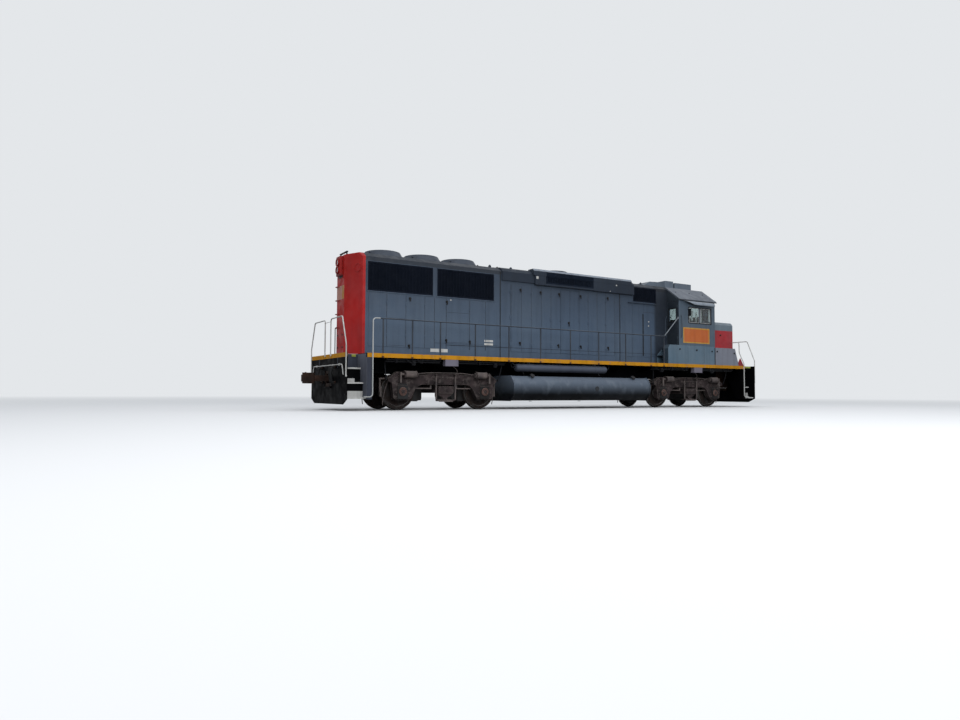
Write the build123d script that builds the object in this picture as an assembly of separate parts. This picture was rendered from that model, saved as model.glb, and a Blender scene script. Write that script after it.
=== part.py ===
from build123d import *
from math import atan2, floor, pi, tan
import os

# A four-axle diesel road locomotive: a narrow hood on a full-width deck, with the cab near one end.
# +X points to the cab end, +Y to the left and +Z up. X = 0 is midway between the two trucks and
# Y = 0 is the centreline. Heights below are above the rail head; the whole model is lifted by the
# depth of a wheel flange when it is written, so Z = 0 is where the flanges end.

# Driving dimensions, in millimetres
COUPLED_LENGTH = 18212      # between the pulling faces of the two couplers
COUPLER_REACH = 726         # end sheet to pulling face
TRUCK_SETBACK = 3198.5      # end sheet to truck centre
AXLE_SPACING = 2743         # between the two axles of a truck
WHEEL_D = 1016              # over the treads
WHEEL_BACKS = 1356          # between the inner faces of a pair of wheels
FLANGE_DEPTH = 29           # of a wheel flange below its tread
COUPLER_Z = 876             # height of the coupler's centre line
DECK_Z = 1560               # top of the walkways
DECK_HALF_W = 1550          # centreline to the outer face of a side sill
SILL_DEPTH = 120            # of the side sills, which carry the stripe
REAR_PLATFORM = 340         # rear end sheet to the flat of the hood's rear end
HOOD_TAPER = 300            # length over which the hood narrows to that flat
HOOD_FLAT_HALF_W = 300      # of the flat
HOOD_HALF_W = 970           # centreline to a hood side
HOOD_EAVES_Z = 4330         # where a hood side meets the roof
HOOD_TOP_Z = 4450
HOOD_TOP_HALF_W = 800       # of the flat part of the roof
HOOD_WALL = 40              # of sides, doors and roof
RADIATOR_HOOD_LENGTH = 4590     # from the taper to the engine's hood
CABINET_HOOD_LENGTH = 2320      # from the engine's hood to the cab
CAB_LENGTH = 1920
CAB_FLOOR_Z = 2240
CAB_EAVES_Z = 3930
CAB_TOP_Z = 4470
CAB_TOP_HALF_W = 900
CAB_WALL = 60
FRONT_PLATFORM = 380        # front end sheet to the flat of the nose
NOSE_TAPER = 180            # length over which the nose narrows to that flat
NOSE_FLAT_HALF_W = 450      # of the flat
NOSE_LENGTH = 1720          # cab to the taper
NOSE_TOP_Z = 3280

# Clearances, in millimetres
SEAT_GAP = 0.3              # between a piece and the bearing that it turns in or on
SWING_GAP = 6               # round a door in its opening

# Places that follow from the driving dimensions
PULLING_FACE_X = COUPLED_LENGTH / 2
END_SILL_X = PULLING_FACE_X - COUPLER_REACH         # outer face of each end sheet
TRUCK_X = END_SILL_X - TRUCK_SETBACK
HOOD_REAR_X = -END_SILL_X + REAR_PLATFORM
HOOD_CORNER_X = HOOD_REAR_X + HOOD_TAPER
NOSE_FRONT_X = END_SILL_X - FRONT_PLATFORM
CAB_FRONT_X = NOSE_FRONT_X - NOSE_TAPER - NOSE_LENGTH
CAB_REAR_X = CAB_FRONT_X - CAB_LENGTH
ENGINE_HOOD_X = (HOOD_CORNER_X + RADIATOR_HOOD_LENGTH, CAB_REAR_X - CABINET_HOOD_LENGTH)
CAB_HALF_W = DECK_HALF_W
AXLE_X = AXLE_SPACING / 2                           # from a truck's centre
AXLE_Z = WHEEL_D / 2
SILL_Z = DECK_Z - SILL_DEPTH

os.makedirs("parts", exist_ok=True)


def block(x0, x1, y0, y1, z0, z1):
    """A box from its low and high corners."""
    return Pos((x0 + x1) / 2, (y0 + y1) / 2, (z0 + z1) / 2) * Box(x1 - x0, y1 - y0, z1 - z0)


def span(x_a, x_b, y_a, y_b, z0, z1):
    """A box between two corners given in any order of x and y."""
    return block(min(x_a, x_b), max(x_a, x_b), min(y_a, y_b), max(y_a, y_b), z0, z1)


def profile_xz(points, y0, y1, corners=0):
    """A plate cut to an outline of (x, z) points, from y0 to y1, its corners rounded."""
    face = make_face(Polyline([(x, 0, z) for x, z in points], close=True))
    if corners:
        face = fillet(face.vertices(), corners)
    return Pos(0, y0, 0) * extrude(face, amount=y1 - y0, dir=(0, 1, 0))


def profile_yz(points, x0, x1, corners=0):
    """A plate cut to an outline of (y, z) points, from x0 to x1, its corners rounded."""
    face = make_face(Polyline([(0, y, z) for y, z in points], close=True))
    if corners:
        face = fillet(face.vertices(), corners)
    return Pos(x0, 0, 0) * extrude(face, amount=x1 - x0, dir=(1, 0, 0))


def profile_xy(points, z0, z1, corners=0):
    """A plate cut to an outline of (x, y) points, from z0 to z1, its corners rounded."""
    face = make_face(Polyline([(x, y, z0) for x, y in points], close=True))
    if corners:
        face = fillet(face.vertices(), corners)
    return extrude(face, amount=z1 - z0, dir=(0, 0, 1))


def rod(start, end, diameter):
    """A round bar from one point to another."""
    axis = Vector(*end) - Vector(*start)
    middle = Vector(*start) + axis * 0.5
    return Plane(origin=middle, z_dir=axis) * Cylinder(diameter / 2, axis.length)


def drum(x, y, z, diameter, height):
    """A round piece standing on z, its axis upright."""
    return Pos(x, y, z + height / 2) * Cylinder(diameter / 2, height)


def bent_bar(points, diameter, bend):
    """A round bar bent through a row of points."""
    path = FilletPolyline(*points, radius=bend)
    section = Plane(origin=points[0], z_dir=path % 0) * Circle(diameter / 2)
    return sweep(section, path=path)


def evenly(first, last, count):
    """Evenly spaced places from the first to the last."""
    return [first + (last - first) * i / (count - 1) for i in range(count)]


def mirrored(solid):
    """A piece and its mirror image on the other side of the centreline."""
    return [solid, mirror(solid, about=Plane.XZ)]


def turned(solid):
    """The same piece turned half a turn about Z, for the other end."""
    return Rot(0, 0, 180) * solid


def solids_of(item):
    """The loose solids in a piece, a list or a compound."""
    if isinstance(item, (list, tuple, ShapeList)):
        return [solid for piece in item for solid in solids_of(piece)]
    return list(item.solids())


def write(node, *pieces):
    """One STEP file for a node, lifted so that the wheel flanges end at Z = 0."""
    solids = [Pos(0, 0, FLANGE_DEPTH) * solid for solid in solids_of(pieces)]
    shape = solids[0] if len(solids) == 1 else Compound(children=solids)
    shape.label = node
    export_step(shape, f"parts/{node}.step")


# Underframe
# Two deep I-beams under a deck plate, with channel side sills, cross-bearers and a bolster over
# each truck whose centre plate sits in the truck's bowl.
DECK_PLATE = 15
SIDE_SILL_FLANGE = 100
SIDE_SILL_WALL = 14
WELD_INSET = 5              # of a cross piece behind the sills' outer faces
CENTRE_SILL_Y = 330         # of each I-beam's web
CENTRE_SILL_WEB = 26
CENTRE_SILL_FLANGE_W = 220
CENTRE_SILL_FLANGE = 40
CENTRE_SILL_Z = 1040        # bottom of the I-beams
DRAFT_POCKET_LENGTH = 820   # from the end sheet to where the I-beams end
CENTRE_PLATE_D = 560
CENTRE_PLATE_Z = 990        # bottom of the centre plate, in the bowl
BODY_BOLSTER_LENGTH = 420
CROSS_BEARER = 24
CROSS_BEARER_Z = 1240       # its bottom between the I-beams
CROSS_BEARERS = 6
BEARER_TO_TRUCK = 1781.5    # from the last cross-bearer to a truck's centre
JACKING_PAD = (430, 160, 190)       # length, width and depth of a pad beside each bolster
STEP_WELL = (580, 740)      # length and width of each step well
END_SHEET = 20              # thickness of the sheet across each end

deck_low_z = DECK_Z - DECK_PLATE
frame_end_x = END_SILL_X - END_SHEET
centre_sill_end_x = END_SILL_X - DRAFT_POCKET_LENGTH
step_well_x = END_SILL_X - STEP_WELL[0]
step_well_y = DECK_HALF_W - STEP_WELL[1]


def cross_piece(x0, x1, inner_half, inner_z, outer_half, outer_z):
    """A beam across the frame, deep at the middle and shallow at the side sills."""
    half = DECK_HALF_W - WELD_INSET
    right = [(inner_half, inner_z), (outer_half, outer_z), (half, SILL_Z + 10), (half, deck_low_z)]
    left = [(-y, z) for y, z in reversed(right)]
    return profile_yz(left + right, x0, x1)


def make_underframe():
    """Deck, sills, cross-bearers and body bolsters in one welded frame."""
    frame = block(-frame_end_x, frame_end_x, -DECK_HALF_W, DECK_HALF_W, deck_low_z, DECK_Z)
    for side in (-1, 1):
        outer = side * DECK_HALF_W
        frame += span(-frame_end_x, frame_end_x, outer, side * (DECK_HALF_W - SIDE_SILL_WALL), SILL_Z, deck_low_z)
        frame += span(-frame_end_x, frame_end_x, outer, side * (DECK_HALF_W - SIDE_SILL_FLANGE),
                      SILL_Z, SILL_Z + SIDE_SILL_WALL)
    for end in (-1, 1):
        for side in (-1, 1):
            frame -= span(end * step_well_x, end * END_SILL_X, side * step_well_y, side * (DECK_HALF_W + 20),
                          SILL_Z - 60, DECK_Z + 20)
    for web in (-CENTRE_SILL_Y, CENTRE_SILL_Y):
        frame += block(-centre_sill_end_x, centre_sill_end_x, web - CENTRE_SILL_WEB / 2,
                       web + CENTRE_SILL_WEB / 2, CENTRE_SILL_Z, deck_low_z)
        frame += block(-centre_sill_end_x, centre_sill_end_x, web - CENTRE_SILL_FLANGE_W / 2,
                       web + CENTRE_SILL_FLANGE_W / 2, CENTRE_SILL_Z, CENTRE_SILL_Z + CENTRE_SILL_FLANGE)
    for x in evenly(BEARER_TO_TRUCK - TRUCK_X, TRUCK_X - BEARER_TO_TRUCK, CROSS_BEARERS):
        frame += cross_piece(x - CROSS_BEARER / 2, x + CROSS_BEARER / 2, 450, CROSS_BEARER_Z, 1150, SILL_Z)
    for x in (-TRUCK_X, TRUCK_X):
        frame += cross_piece(x - BODY_BOLSTER_LENGTH / 2, x + BODY_BOLSTER_LENGTH / 2, 480, CENTRE_SILL_Z,
                             1100, SILL_Z - 40)
        frame += drum(x, 0, CENTRE_PLATE_Z, CENTRE_PLATE_D, CENTRE_SILL_Z - CENTRE_PLATE_Z)
        length, width, depth = JACKING_PAD
        for side in (-1, 1):
            outer = DECK_HALF_W - WELD_INSET
            frame += span(x - length / 2, x + length / 2, side * outer, side * (outer - width),
                          SILL_Z - depth, SILL_Z + SIDE_SILL_WALL / 2)
    return frame


write("underframe", make_underframe())

# Couplers
# A shank pinned in the draft gear pocket, a head with its guard arm, and a knuckle that turns
# on its own upright pin. Both ends are the same, turned half a turn.
SHANK_W = 150
SHANK_H = 160
COUPLER_PIN_INSET = 120     # of the pin that a coupler swings on, behind the end sheet
COUPLER_PIN_D = 90
HEAD_LENGTH = 306           # back of the coupler head to the pulling face
HEAD_H = 300
HEAD_LUG = 45               # thickness of the lugs that hold the knuckle's pin
KNUCKLE_PIN_BACK = 121      # of the knuckle's pin behind the pulling face
KNUCKLE_PIN_Y = -150
KNUCKLE_PIN_D = 42
KNUCKLE_H = 190
KNUCKLE_ROUND = 14
KNUCKLE_ROOM = 6            # above and below the knuckle's eye
POCKET_WALL = 25
POCKET_HALF_W = 200
POCKET_HALF_H = 135

coupler_pin_x = END_SILL_X - COUPLER_PIN_INSET
head_x = PULLING_FACE_X - HEAD_LENGTH
knuckle_pin_x = PULLING_FACE_X - KNUCKLE_PIN_BACK


def make_draft_pocket():
    """The box at an end of the frame that a coupler is pinned in, with the pin."""
    outer = POCKET_HALF_W + POCKET_WALL
    x0, x1 = centre_sill_end_x, frame_end_x
    top = CENTRE_SILL_Z + 60
    pocket = block(x0, x1, -outer, outer, COUPLER_Z - POCKET_HALF_H - POCKET_WALL, top)
    pocket -= block(x0 + CENTRE_SILL_FLANGE, x1 + 10, -POCKET_HALF_W, POCKET_HALF_W,
                    COUPLER_Z - POCKET_HALF_H, COUPLER_Z + POCKET_HALF_H)
    web = CENTRE_SILL_Y + CENTRE_SILL_WEB / 2
    pocket += block(x0, x1, -web, web, top, deck_low_z)
    return pocket + drum(coupler_pin_x, 0, COUPLER_Z - POCKET_HALF_H - POCKET_WALL, COUPLER_PIN_D,
                         2 * (POCKET_HALF_H + POCKET_WALL))


def make_coupler():
    """Shank, head and knuckle pin, at the cab end."""
    low_z = COUPLER_Z - HEAD_H / 2
    shank_end_x = coupler_pin_x - COUPLER_PIN_D
    shank = block(shank_end_x, head_x + 20, -SHANK_W / 2, SHANK_W / 2,
                  COUPLER_Z - SHANK_H / 2, COUPLER_Z + SHANK_H / 2)
    shank += drum(shank_end_x, 0, COUPLER_Z - SHANK_H / 2, SHANK_W, SHANK_H)
    shank -= drum(coupler_pin_x, 0, low_z, COUPLER_PIN_D + 2 * SEAT_GAP, HEAD_H)
    x, y = knuckle_pin_x, KNUCKLE_PIN_Y
    head = profile_xy([(head_x, -95), (head_x + 60, -190), (x, y - 65), (x - 50, y + 90), (x - 60, 40),
                       (x + 10, 120), (PULLING_FACE_X + 20, 190), (PULLING_FACE_X + 90, 235),
                       (PULLING_FACE_X + 20, 262), (head_x + 60, 190), (head_x, 95)], low_z, low_z + HEAD_H)
    for z in (low_z, low_z + HEAD_H - HEAD_LUG):
        head += block(x - 110, x, y - 60, y + 60, z, z + HEAD_LUG)
        head += drum(x, y, z, 120, HEAD_LUG)
    head -= drum(x, y, COUPLER_Z - KNUCKLE_H / 2 - KNUCKLE_ROOM, 160, KNUCKLE_H + 2 * KNUCKLE_ROOM)
    return shank + head + drum(x, y, low_z, KNUCKLE_PIN_D, HEAD_H + 25)


def make_knuckle():
    """The hook that turns on the pin, closed, at the cab end."""
    x, y, face = knuckle_pin_x, KNUCKLE_PIN_Y, PULLING_FACE_X
    hook = profile_xy([(x - 45, y - 45), (x + 60, y - 58), (face - 8, y - 10), (face + 25, y + 60),
                       (face + 25, y + 160), (face - 50, y + 190), (face - 72, y + 130), (x + 30, y + 62),
                       (x - 40, y + 50)],
                      COUPLER_Z - KNUCKLE_H / 2, COUPLER_Z + KNUCKLE_H / 2, KNUCKLE_ROUND)
    return hook - drum(x, y, COUPLER_Z - HEAD_H, KNUCKLE_PIN_D + 2 * SEAT_GAP, 2 * HEAD_H)


coupler = make_coupler()
knuckle = make_knuckle()
draft_gear = make_draft_pocket()
write("draft_gear", draft_gear, turned(draft_gear))
write("coupler_front", coupler)
write("coupler_rear", turned(coupler))
write("knuckle_front", knuckle)
write("knuckle_rear", turned(knuckle))

# End sheets and steps
# Each end has a black sheet across the whole width, open for the coupler, and at each corner a
# flight of three steps between the sheet and a side plate.
END_SHEET_Z = 150
END_SHEET_CORNER = (300, 140)       # width and height of the sheet's cut lower corners
COUPLER_GAP_HALF_W = 260
COUPLER_GAP_Z = (640, 1090)
STEP_PLATE = 12
STEP_BOX = 140              # thickness of the boxed plate beside the steps
STEP_TREAD = 25
STEPS = (                   # tread height, and its outer and inner edges' distance from the sill's face
    (310, 70, 320),
    (720, 280, 530),
    (1130, 490, 740),
)


def make_end(end):
    """End sheet, step side plates, treads and risers of one end: end is 1 or -1."""
    width, height = END_SHEET_CORNER
    corner_z = END_SHEET_Z + height
    sheet = profile_yz([(-DECK_HALF_W, DECK_Z), (-DECK_HALF_W, corner_z), (-DECK_HALF_W + width, END_SHEET_Z),
                        (DECK_HALF_W - width, END_SHEET_Z), (DECK_HALF_W, corner_z), (DECK_HALF_W, DECK_Z)],
                       frame_end_x, END_SILL_X)
    sheet -= block(END_SILL_X - 100, END_SILL_X + 100, -COUPLER_GAP_HALF_W, COUPLER_GAP_HALF_W, *COUPLER_GAP_Z)
    sheet += block(frame_end_x, END_SILL_X + 60, -COUPLER_GAP_HALF_W - 60, COUPLER_GAP_HALF_W + 60,
                   COUPLER_GAP_Z[0] - 40, COUPLER_GAP_Z[0])
    flange = DECK_HALF_W - SIDE_SILL_FLANGE
    low_inner = DECK_HALF_W - STEPS[0][2]
    for side in (-1, 1):
        plate = [(DECK_HALF_W, SILL_Z), (DECK_HALF_W, corner_z), (low_inner, corner_z),
                 (step_well_y, STEPS[2][0]), (step_well_y, deck_low_z), (flange, deck_low_z), (flange, SILL_Z)]
        sheet += profile_yz([(side * y, z) for y, z in plate], step_well_x - STEP_BOX, step_well_x)
        rises = [z for z, _, _ in STEPS[1:]] + [deck_low_z]
        for (z, outer, inner), z_next in zip(STEPS, rises):
            x0, x1 = step_well_x - STEP_PLATE / 2, END_SILL_X - END_SHEET / 2
            y_out, y_in = side * (DECK_HALF_W - outer), side * (DECK_HALF_W - inner)
            sheet += span(x0, x1, y_in, y_out, z, z + STEP_TREAD)
            sheet += span(x0, x1, y_in, y_in - side * STEP_PLATE, z, z_next)
    return sheet if end > 0 else turned(sheet)


write("end_sheet_front", make_end(1))
write("end_sheet_rear", make_end(-1))

# Fuel tank and air reservoirs
TANK_TO_TRUCK = (2231.5, 2341.5)    # from the tank's ends to the rear and front truck centres
TANK_Z = (240, 1010)
TANK_HALF_W = 1450
TANK_SHOULDER = (250, 200)          # width of the tank's rounding below and above
TANK_END = 40                       # length of the rim at each end
TANK_RIM = 15                       # height of the rim
TANK_HANGERS = 5
RESERVOIR_INSET = (170, 1930)       # of the reservoirs' ends from the tank's
RESERVOIR_D = 260
RESERVOIR_SIDE = 280                # of a reservoir's axis in from the side sill's face
RESERVOIR_Z = 1275
FILLER_D = 120

tank_x = (TANK_TO_TRUCK[0] - TRUCK_X, TRUCK_X - TANK_TO_TRUCK[1])


def tank_section(x0, x1, grow=0):
    """A length of the tank: bulging sides, a flat top and a flat bottom."""
    low, high = TANK_Z[0] - grow, TANK_Z[1] + grow
    half = TANK_HALF_W + grow
    mid = (low + high) / 2
    low_half, high_half = half - TANK_SHOULDER[0], half - TANK_SHOULDER[1]
    edges = [Line((0, -low_half, low), (0, low_half, low)),
             ThreePointArc((0, low_half, low), (0, half, mid), (0, high_half, high)),
             Line((0, high_half, high), (0, -high_half, high)),
             ThreePointArc((0, -high_half, high), (0, -half, mid), (0, -low_half, low))]
    return Pos(x0, 0, 0) * extrude(make_face(edges), amount=x1 - x0, dir=(1, 0, 0))


def make_tank():
    """The tank with a rim at each end and its fillers, hung from the frame by brackets."""
    x0, x1 = tank_x
    tank = tank_section(x0 + TANK_END, x1 - TANK_END)
    tank += tank_section(x0, x0 + TANK_END, TANK_RIM)
    tank += tank_section(x1 - TANK_END, x1, TANK_RIM)
    for x in evenly(x0 + 350, x1 - 340, TANK_HANGERS):
        for y in (-CENTRE_SILL_Y, CENTRE_SILL_Y):
            tank += block(x - 30, x + 30, y - 90, y + 90, TANK_Z[1] - 5, CENTRE_SILL_Z)
    for side in (-1, 1):
        for x in (x0 + 750, x1 - 750):
            y = side * (TANK_HALF_W - TANK_SHOULDER[1])
            tank += rod((x, y, TANK_Z[1] - 90), (x, y + side * 110, TANK_Z[1] + 10), FILLER_D)
    return tank


def make_reservoir():
    """One long cylinder with domed ends under the right-hand side sill, in straps."""
    x0, x1 = tank_x[0] + RESERVOIR_INSET[0], tank_x[1] - RESERVOIR_INSET[1]
    y = -DECK_HALF_W + RESERVOIR_SIDE
    body = Rot(0, 90, 0) * Cylinder(RESERVOIR_D / 2, x1 - x0)
    body = fillet(body.edges().filter_by(GeomType.CIRCLE), 60)
    body = Pos((x0 + x1) / 2, y, RESERVOIR_Z) * body
    for x in (x0 + 500, x1 - 500):
        body += block(x - 25, x + 25, y - 60, y + 60, RESERVOIR_Z, deck_low_z)
        body += rod((x - 20, y, RESERVOIR_Z), (x + 20, y, RESERVOIR_Z), RESERVOIR_D + 16)
    return body


write("fuel_tank", make_tank())
write("air_reservoirs", mirrored(make_reservoir()))

# Trucks
# A cast frame with two pedestals a side, journal boxes under coil springs, a bolster on leaf
# springs hung between swing links, two traction motors, and one brake cylinder a wheel.
FRAME_Y = (940, 1110)       # inner and outer face of a side frame
FRAME_LOW_Z = 715           # underside of its middle
PEDESTAL_GAP = 330          # between a pedestal's jaws
PEDESTAL_Z = 300            # bottom of the jaws
BOX_ROOM = 6                # between a journal box and each jaw
JOURNAL_D = 160
AXLE_D = 200
AXLE_END_Y = 1085
BOX_OUTER_Y = 1135
BOX_Z = (320, 690)
BOX_CAP_D = 230
SPRING_D = 114
SPRING_Z = (690, 930)
SPRING_COILS = 5
CYLINDER_D = 200            # of a brake cylinder
CYLINDER_X = (1000, 1360)
CYLINDER_Y = 1222
CYLINDER_Z = 1000
PUSH_ROD_X = 1480
SHOE_HANGER_X = 1790
BRAKE_ROD_Z = 600
HANGER_X = 320              # of the swing links
HANGER_Y = 1170
HANGER_D = 44
HANGER_Z = 1000             # of the pins that the links hang from
PLANK_Z = 250
LEAF_OUTER_Y = 1130
LEAF_Z = 450                # top of the leaf springs
LEAF = 22
LEAVES = 4
BOWL_Z = CENTRE_PLATE_Z - SEAT_GAP
BOWL_RIM = 40
BOWL_ROOM = 12              # round the centre plate
MOTOR_LENGTH = 755          # from beside the axle towards the truck's centre
MOTOR_Z = (250, 900)
MOTOR_Y = -520
MOTOR_ROUND = 150
GEAR_CASE_Y = (560, 648)
GEAR_CASE_D = 840
AXLE_BEARING_D = 300
TRANSOM_X = (340, 440)
TRANSOM_Z = (660, 880)
SIDE_OUTLINE = (            # x, z of half of a side frame's outline, from its centre outwards
    (0, 1040), (420, 1040), (600, 1000), (960, 1000), (1110, 1070), (1540, 1070), (1800, 880), (1800, 800),
    (1690, 760), (1650, 330), (1620, PEDESTAL_Z), (AXLE_X + PEDESTAL_GAP / 2, PEDESTAL_Z),
    (AXLE_X + PEDESTAL_GAP / 2, 705), (AXLE_X - PEDESTAL_GAP / 2, 705), (AXLE_X - PEDESTAL_GAP / 2, PEDESTAL_Z),
    (1110, PEDESTAL_Z), (1085, 340), (980, 560), (880, 670), (760, FRAME_LOW_Z), (0, FRAME_LOW_Z),
)


def make_side_frame():
    """One cast side frame with its spring pockets and pedestal ties, at the left."""
    left = [(-x, z) for x, z in reversed(SIDE_OUTLINE) if x > 0]
    frame = profile_xz(list(SIDE_OUTLINE) + left, *FRAME_Y)
    for x in (-AXLE_X, AXLE_X):
        half = PEDESTAL_GAP / 2
        frame -= block(x - half, x + half, FRAME_Y[0] + 25, FRAME_Y[1] - 25, 700, SPRING_Z[1])
        frame += block(x - half - 40, x + half + 40, FRAME_Y[0] + 40, FRAME_Y[1] - 40, PEDESTAL_Z - 38, PEDESTAL_Z)
        frame += block(x - half - 60, x - half + 10, FRAME_Y[1], FRAME_Y[1] + 22, 760, 920)
        frame += block(x + half - 10, x + half + 60, FRAME_Y[1], FRAME_Y[1] + 22, 760, 920)
    return frame + block(-TRANSOM_X[1], TRANSOM_X[1], FRAME_Y[1], FRAME_Y[1] + 18, 900, 940)


def make_truck_frame():
    """Two side frames joined by two transoms."""
    frame = make_side_frame()
    frame += mirror(frame, about=Plane.XZ)
    for sign in (-1, 1):
        frame += span(sign * TRANSOM_X[0], sign * TRANSOM_X[1], -FRAME_Y[0] - 10, FRAME_Y[0] + 10, *TRANSOM_Z)
    return frame


def make_bolster():
    """The cross beam that carries the body: its ends rest on the leaf springs."""
    top = [(-1200, 480), (-1200, 660), (-880, 670), (-700, 860), (-380, BOWL_Z)]
    bottom = [(880, 480), (700, 470)]
    outline = top + [(-y, z) for y, z in reversed(top)] + bottom + [(-y, z) for y, z in reversed(bottom)]
    beam = profile_yz(outline, -250, 250)
    bowl = drum(0, 0, BOWL_Z - 5, CENTRE_PLATE_D + BOWL_ROOM + 2 * BOWL_RIM, 30)
    return beam + (bowl - drum(0, 0, BOWL_Z, CENTRE_PLATE_D + BOWL_ROOM, 60))


def make_coil_spring(x, y):
    """A coil spring, as wide as its coils, between a journal box and the frame."""
    low, high = SPRING_Z
    rings = drum(x, y, low, SPRING_D - 30, high - low)
    for z in evenly(low + 10, high - 38, SPRING_COILS):
        rings += drum(x, y, z, SPRING_D, 26)
    return rings


def make_journal_box(x):
    """A roller bearing's box in its pedestal, with its round cap and two coil springs on top."""
    half = PEDESTAL_GAP / 2 - BOX_ROOM
    box = block(x - half, x + half, FRAME_Y[0] - 40, BOX_OUTER_Y, *BOX_Z)
    box += rod((x, BOX_OUTER_Y, AXLE_Z), (x, BOX_OUTER_Y + 25, AXLE_Z), BOX_CAP_D)
    box += rod((x, BOX_OUTER_Y, AXLE_Z), (x, BOX_OUTER_Y + 40, AXLE_Z), BOX_CAP_D / 2)
    box -= rod((x, FRAME_Y[0] - 80, AXLE_Z), (x, AXLE_END_Y + 5, AXLE_Z), JOURNAL_D + 2 * SEAT_GAP)
    for offset in (-78, 78):
        box += make_coil_spring(x + offset, sum(FRAME_Y) / 2)
    return box


def make_links():
    """The swing links of one side, their plank, and the leaf springs that stand on it."""
    corners = [(-HANGER_X, HANGER_Y, HANGER_Z + 20), (-HANGER_X, HANGER_Y, PLANK_Z),
               (HANGER_X, HANGER_Y, PLANK_Z), (HANGER_X, HANGER_Y, HANGER_Z + 20)]
    links = bent_bar(corners, HANGER_D, 60)
    for x in (-HANGER_X, HANGER_X):
        links += rod((x, FRAME_Y[1], HANGER_Z), (x, HANGER_Y + 30, HANGER_Z), 60)
    y0 = FRAME_Y[0] + 60
    links += block(-230, 230, y0 - 40, HANGER_Y + 20, PLANK_Z - 22, PLANK_Z + 30)
    links += block(-240, 240, y0, LEAF_OUTER_Y, LEAF_Z, 480)
    for i in range(LEAVES):
        half = 230 - 45 * i
        links += block(-half, half, y0, LEAF_OUTER_Y, LEAF_Z - LEAF * (i + 2), LEAF_Z - LEAF * (i + 1) + 24)
    return links + block(-70, 70, y0, LEAF_OUTER_Y, PLANK_Z + 20, LEAF_Z - LEAF * LEAVES)


def make_motor(sign):
    """A traction motor hung on its axle, with its gear case and the nose that rests on a transom."""
    x_axle = sign * AXLE_X
    x_far = sign * (AXLE_X - 115)
    x_near = x_far - sign * MOTOR_LENGTH
    motor = span(x_near, x_far, MOTOR_Y, GEAR_CASE_Y[0], *MOTOR_Z)
    motor = fillet(motor.edges().filter_by(Axis.Y), MOTOR_ROUND)
    motor += rod((x_axle, MOTOR_Y, AXLE_Z), (x_axle, GEAR_CASE_Y[0], AXLE_Z), AXLE_BEARING_D)
    motor += rod((x_axle, GEAR_CASE_Y[0], AXLE_Z), (x_axle, GEAR_CASE_Y[1], AXLE_Z), GEAR_CASE_D)
    motor += span(x_axle, x_near + sign * 180, *GEAR_CASE_Y, MOTOR_Z[0] - 30, MOTOR_Z[1] - 120)
    motor -= rod((x_axle, -700, AXLE_Z), (x_axle, 700, AXLE_Z), AXLE_D + 2 * SEAT_GAP)
    return motor + span(x_near, sign * TRANSOM_X[1], -120, 120, TRANSOM_Z[0] + 30, TRANSOM_Z[1] - 80)


def make_brake(sign, side):
    """A wheel's brake cylinder with its push rod, and the rod from its lever to the pedestal."""
    y, face = side * CYLINDER_Y, side * FRAME_Y[1]
    x0, x1 = sign * CYLINDER_X[0], sign * CYLINDER_X[1]
    cylinder = rod((x0, y, CYLINDER_Z), (x1, y, CYLINDER_Z), CYLINDER_D)
    cylinder += rod((x0 - sign * 40, y, CYLINDER_Z), (x0, y, CYLINDER_Z), CYLINDER_D * 0.7)
    cylinder += rod((x1, y, CYLINDER_Z), (sign * PUSH_ROD_X, y, CYLINDER_Z), 60)
    cylinder += span(x0 + sign * 80, x1 - sign * 80, face, y, CYLINDER_Z - 70, CYLINDER_Z + 40)
    lever_x0, lever_x1 = sign * (PUSH_ROD_X - 20), sign * (PUSH_ROD_X + 20)
    cylinder += span(lever_x0, lever_x1, y - 30, y + 30, 760, CYLINDER_Z + 60)
    return cylinder + span(lever_x0, lever_x1, face, y, 780, 830)


def make_brake_rod(sign, side):
    """The lever below a side frame and the rod from it to the pedestal's inner jaw."""
    y = side * sum(FRAME_Y) / 2
    lever = span(sign * 410, sign * 450, y - 15, y + 15, BRAKE_ROD_Z - 20, FRAME_LOW_Z)
    return lever + rod((sign * 430, y, BRAKE_ROD_Z), (sign * 920, y, BRAKE_ROD_Z), 36)


def make_shoe(sign, side):
    """A brake shoe at the wheel's outer side, on a hanger from the side frame."""
    tread_x = AXLE_X + WHEEL_D / 2
    shoe = span(sign * (tread_x + 10), sign * (tread_x + 60), side * 722, side * 812, 360, 640)
    shoe += span(sign * (tread_x + 30), sign * (tread_x + 70), side * 740, side * 790, 500, 900)
    shoe += span(sign * (SHOE_HANGER_X - 30), sign * (tread_x + 70), side * 740, side * 790, 860, 900)
    return shoe + span(sign * (SHOE_HANGER_X - 30), sign * (SHOE_HANGER_X + 10), side * 740, side * FRAME_Y[0],
                       860, 900)


def make_wheelset():
    """Two wheels pressed on an axle, about the Y axis through the origin."""
    back = WHEEL_BACKS / 2
    tread = WHEEL_D / 2
    journal = JOURNAL_D / 2
    outline = [(back - 20, 0), (back - 20, 175), (back + 30, 190), (back + 52, 400), (back, 428),
               (back, tread + 8), (back + 12, tread + 27), (back + 20, tread + FLANGE_DEPTH),
               (back + 27, tread + 22), (back + 38, tread), (back + 140, tread - 5),
               (back + 140, 432), (back + 95, 415), (back + 80, 190), (back + 155, 170),
               (back + 155, journal), (AXLE_END_Y, journal), (AXLE_END_Y, 0)]
    half = revolve(make_face(Polyline([(0, y, r) for y, r in outline], close=True)), axis=Axis.Y)
    return half + mirror(half, about=Plane.XZ) + rod((0, -back, 0), (0, back, 0), AXLE_D)


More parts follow.
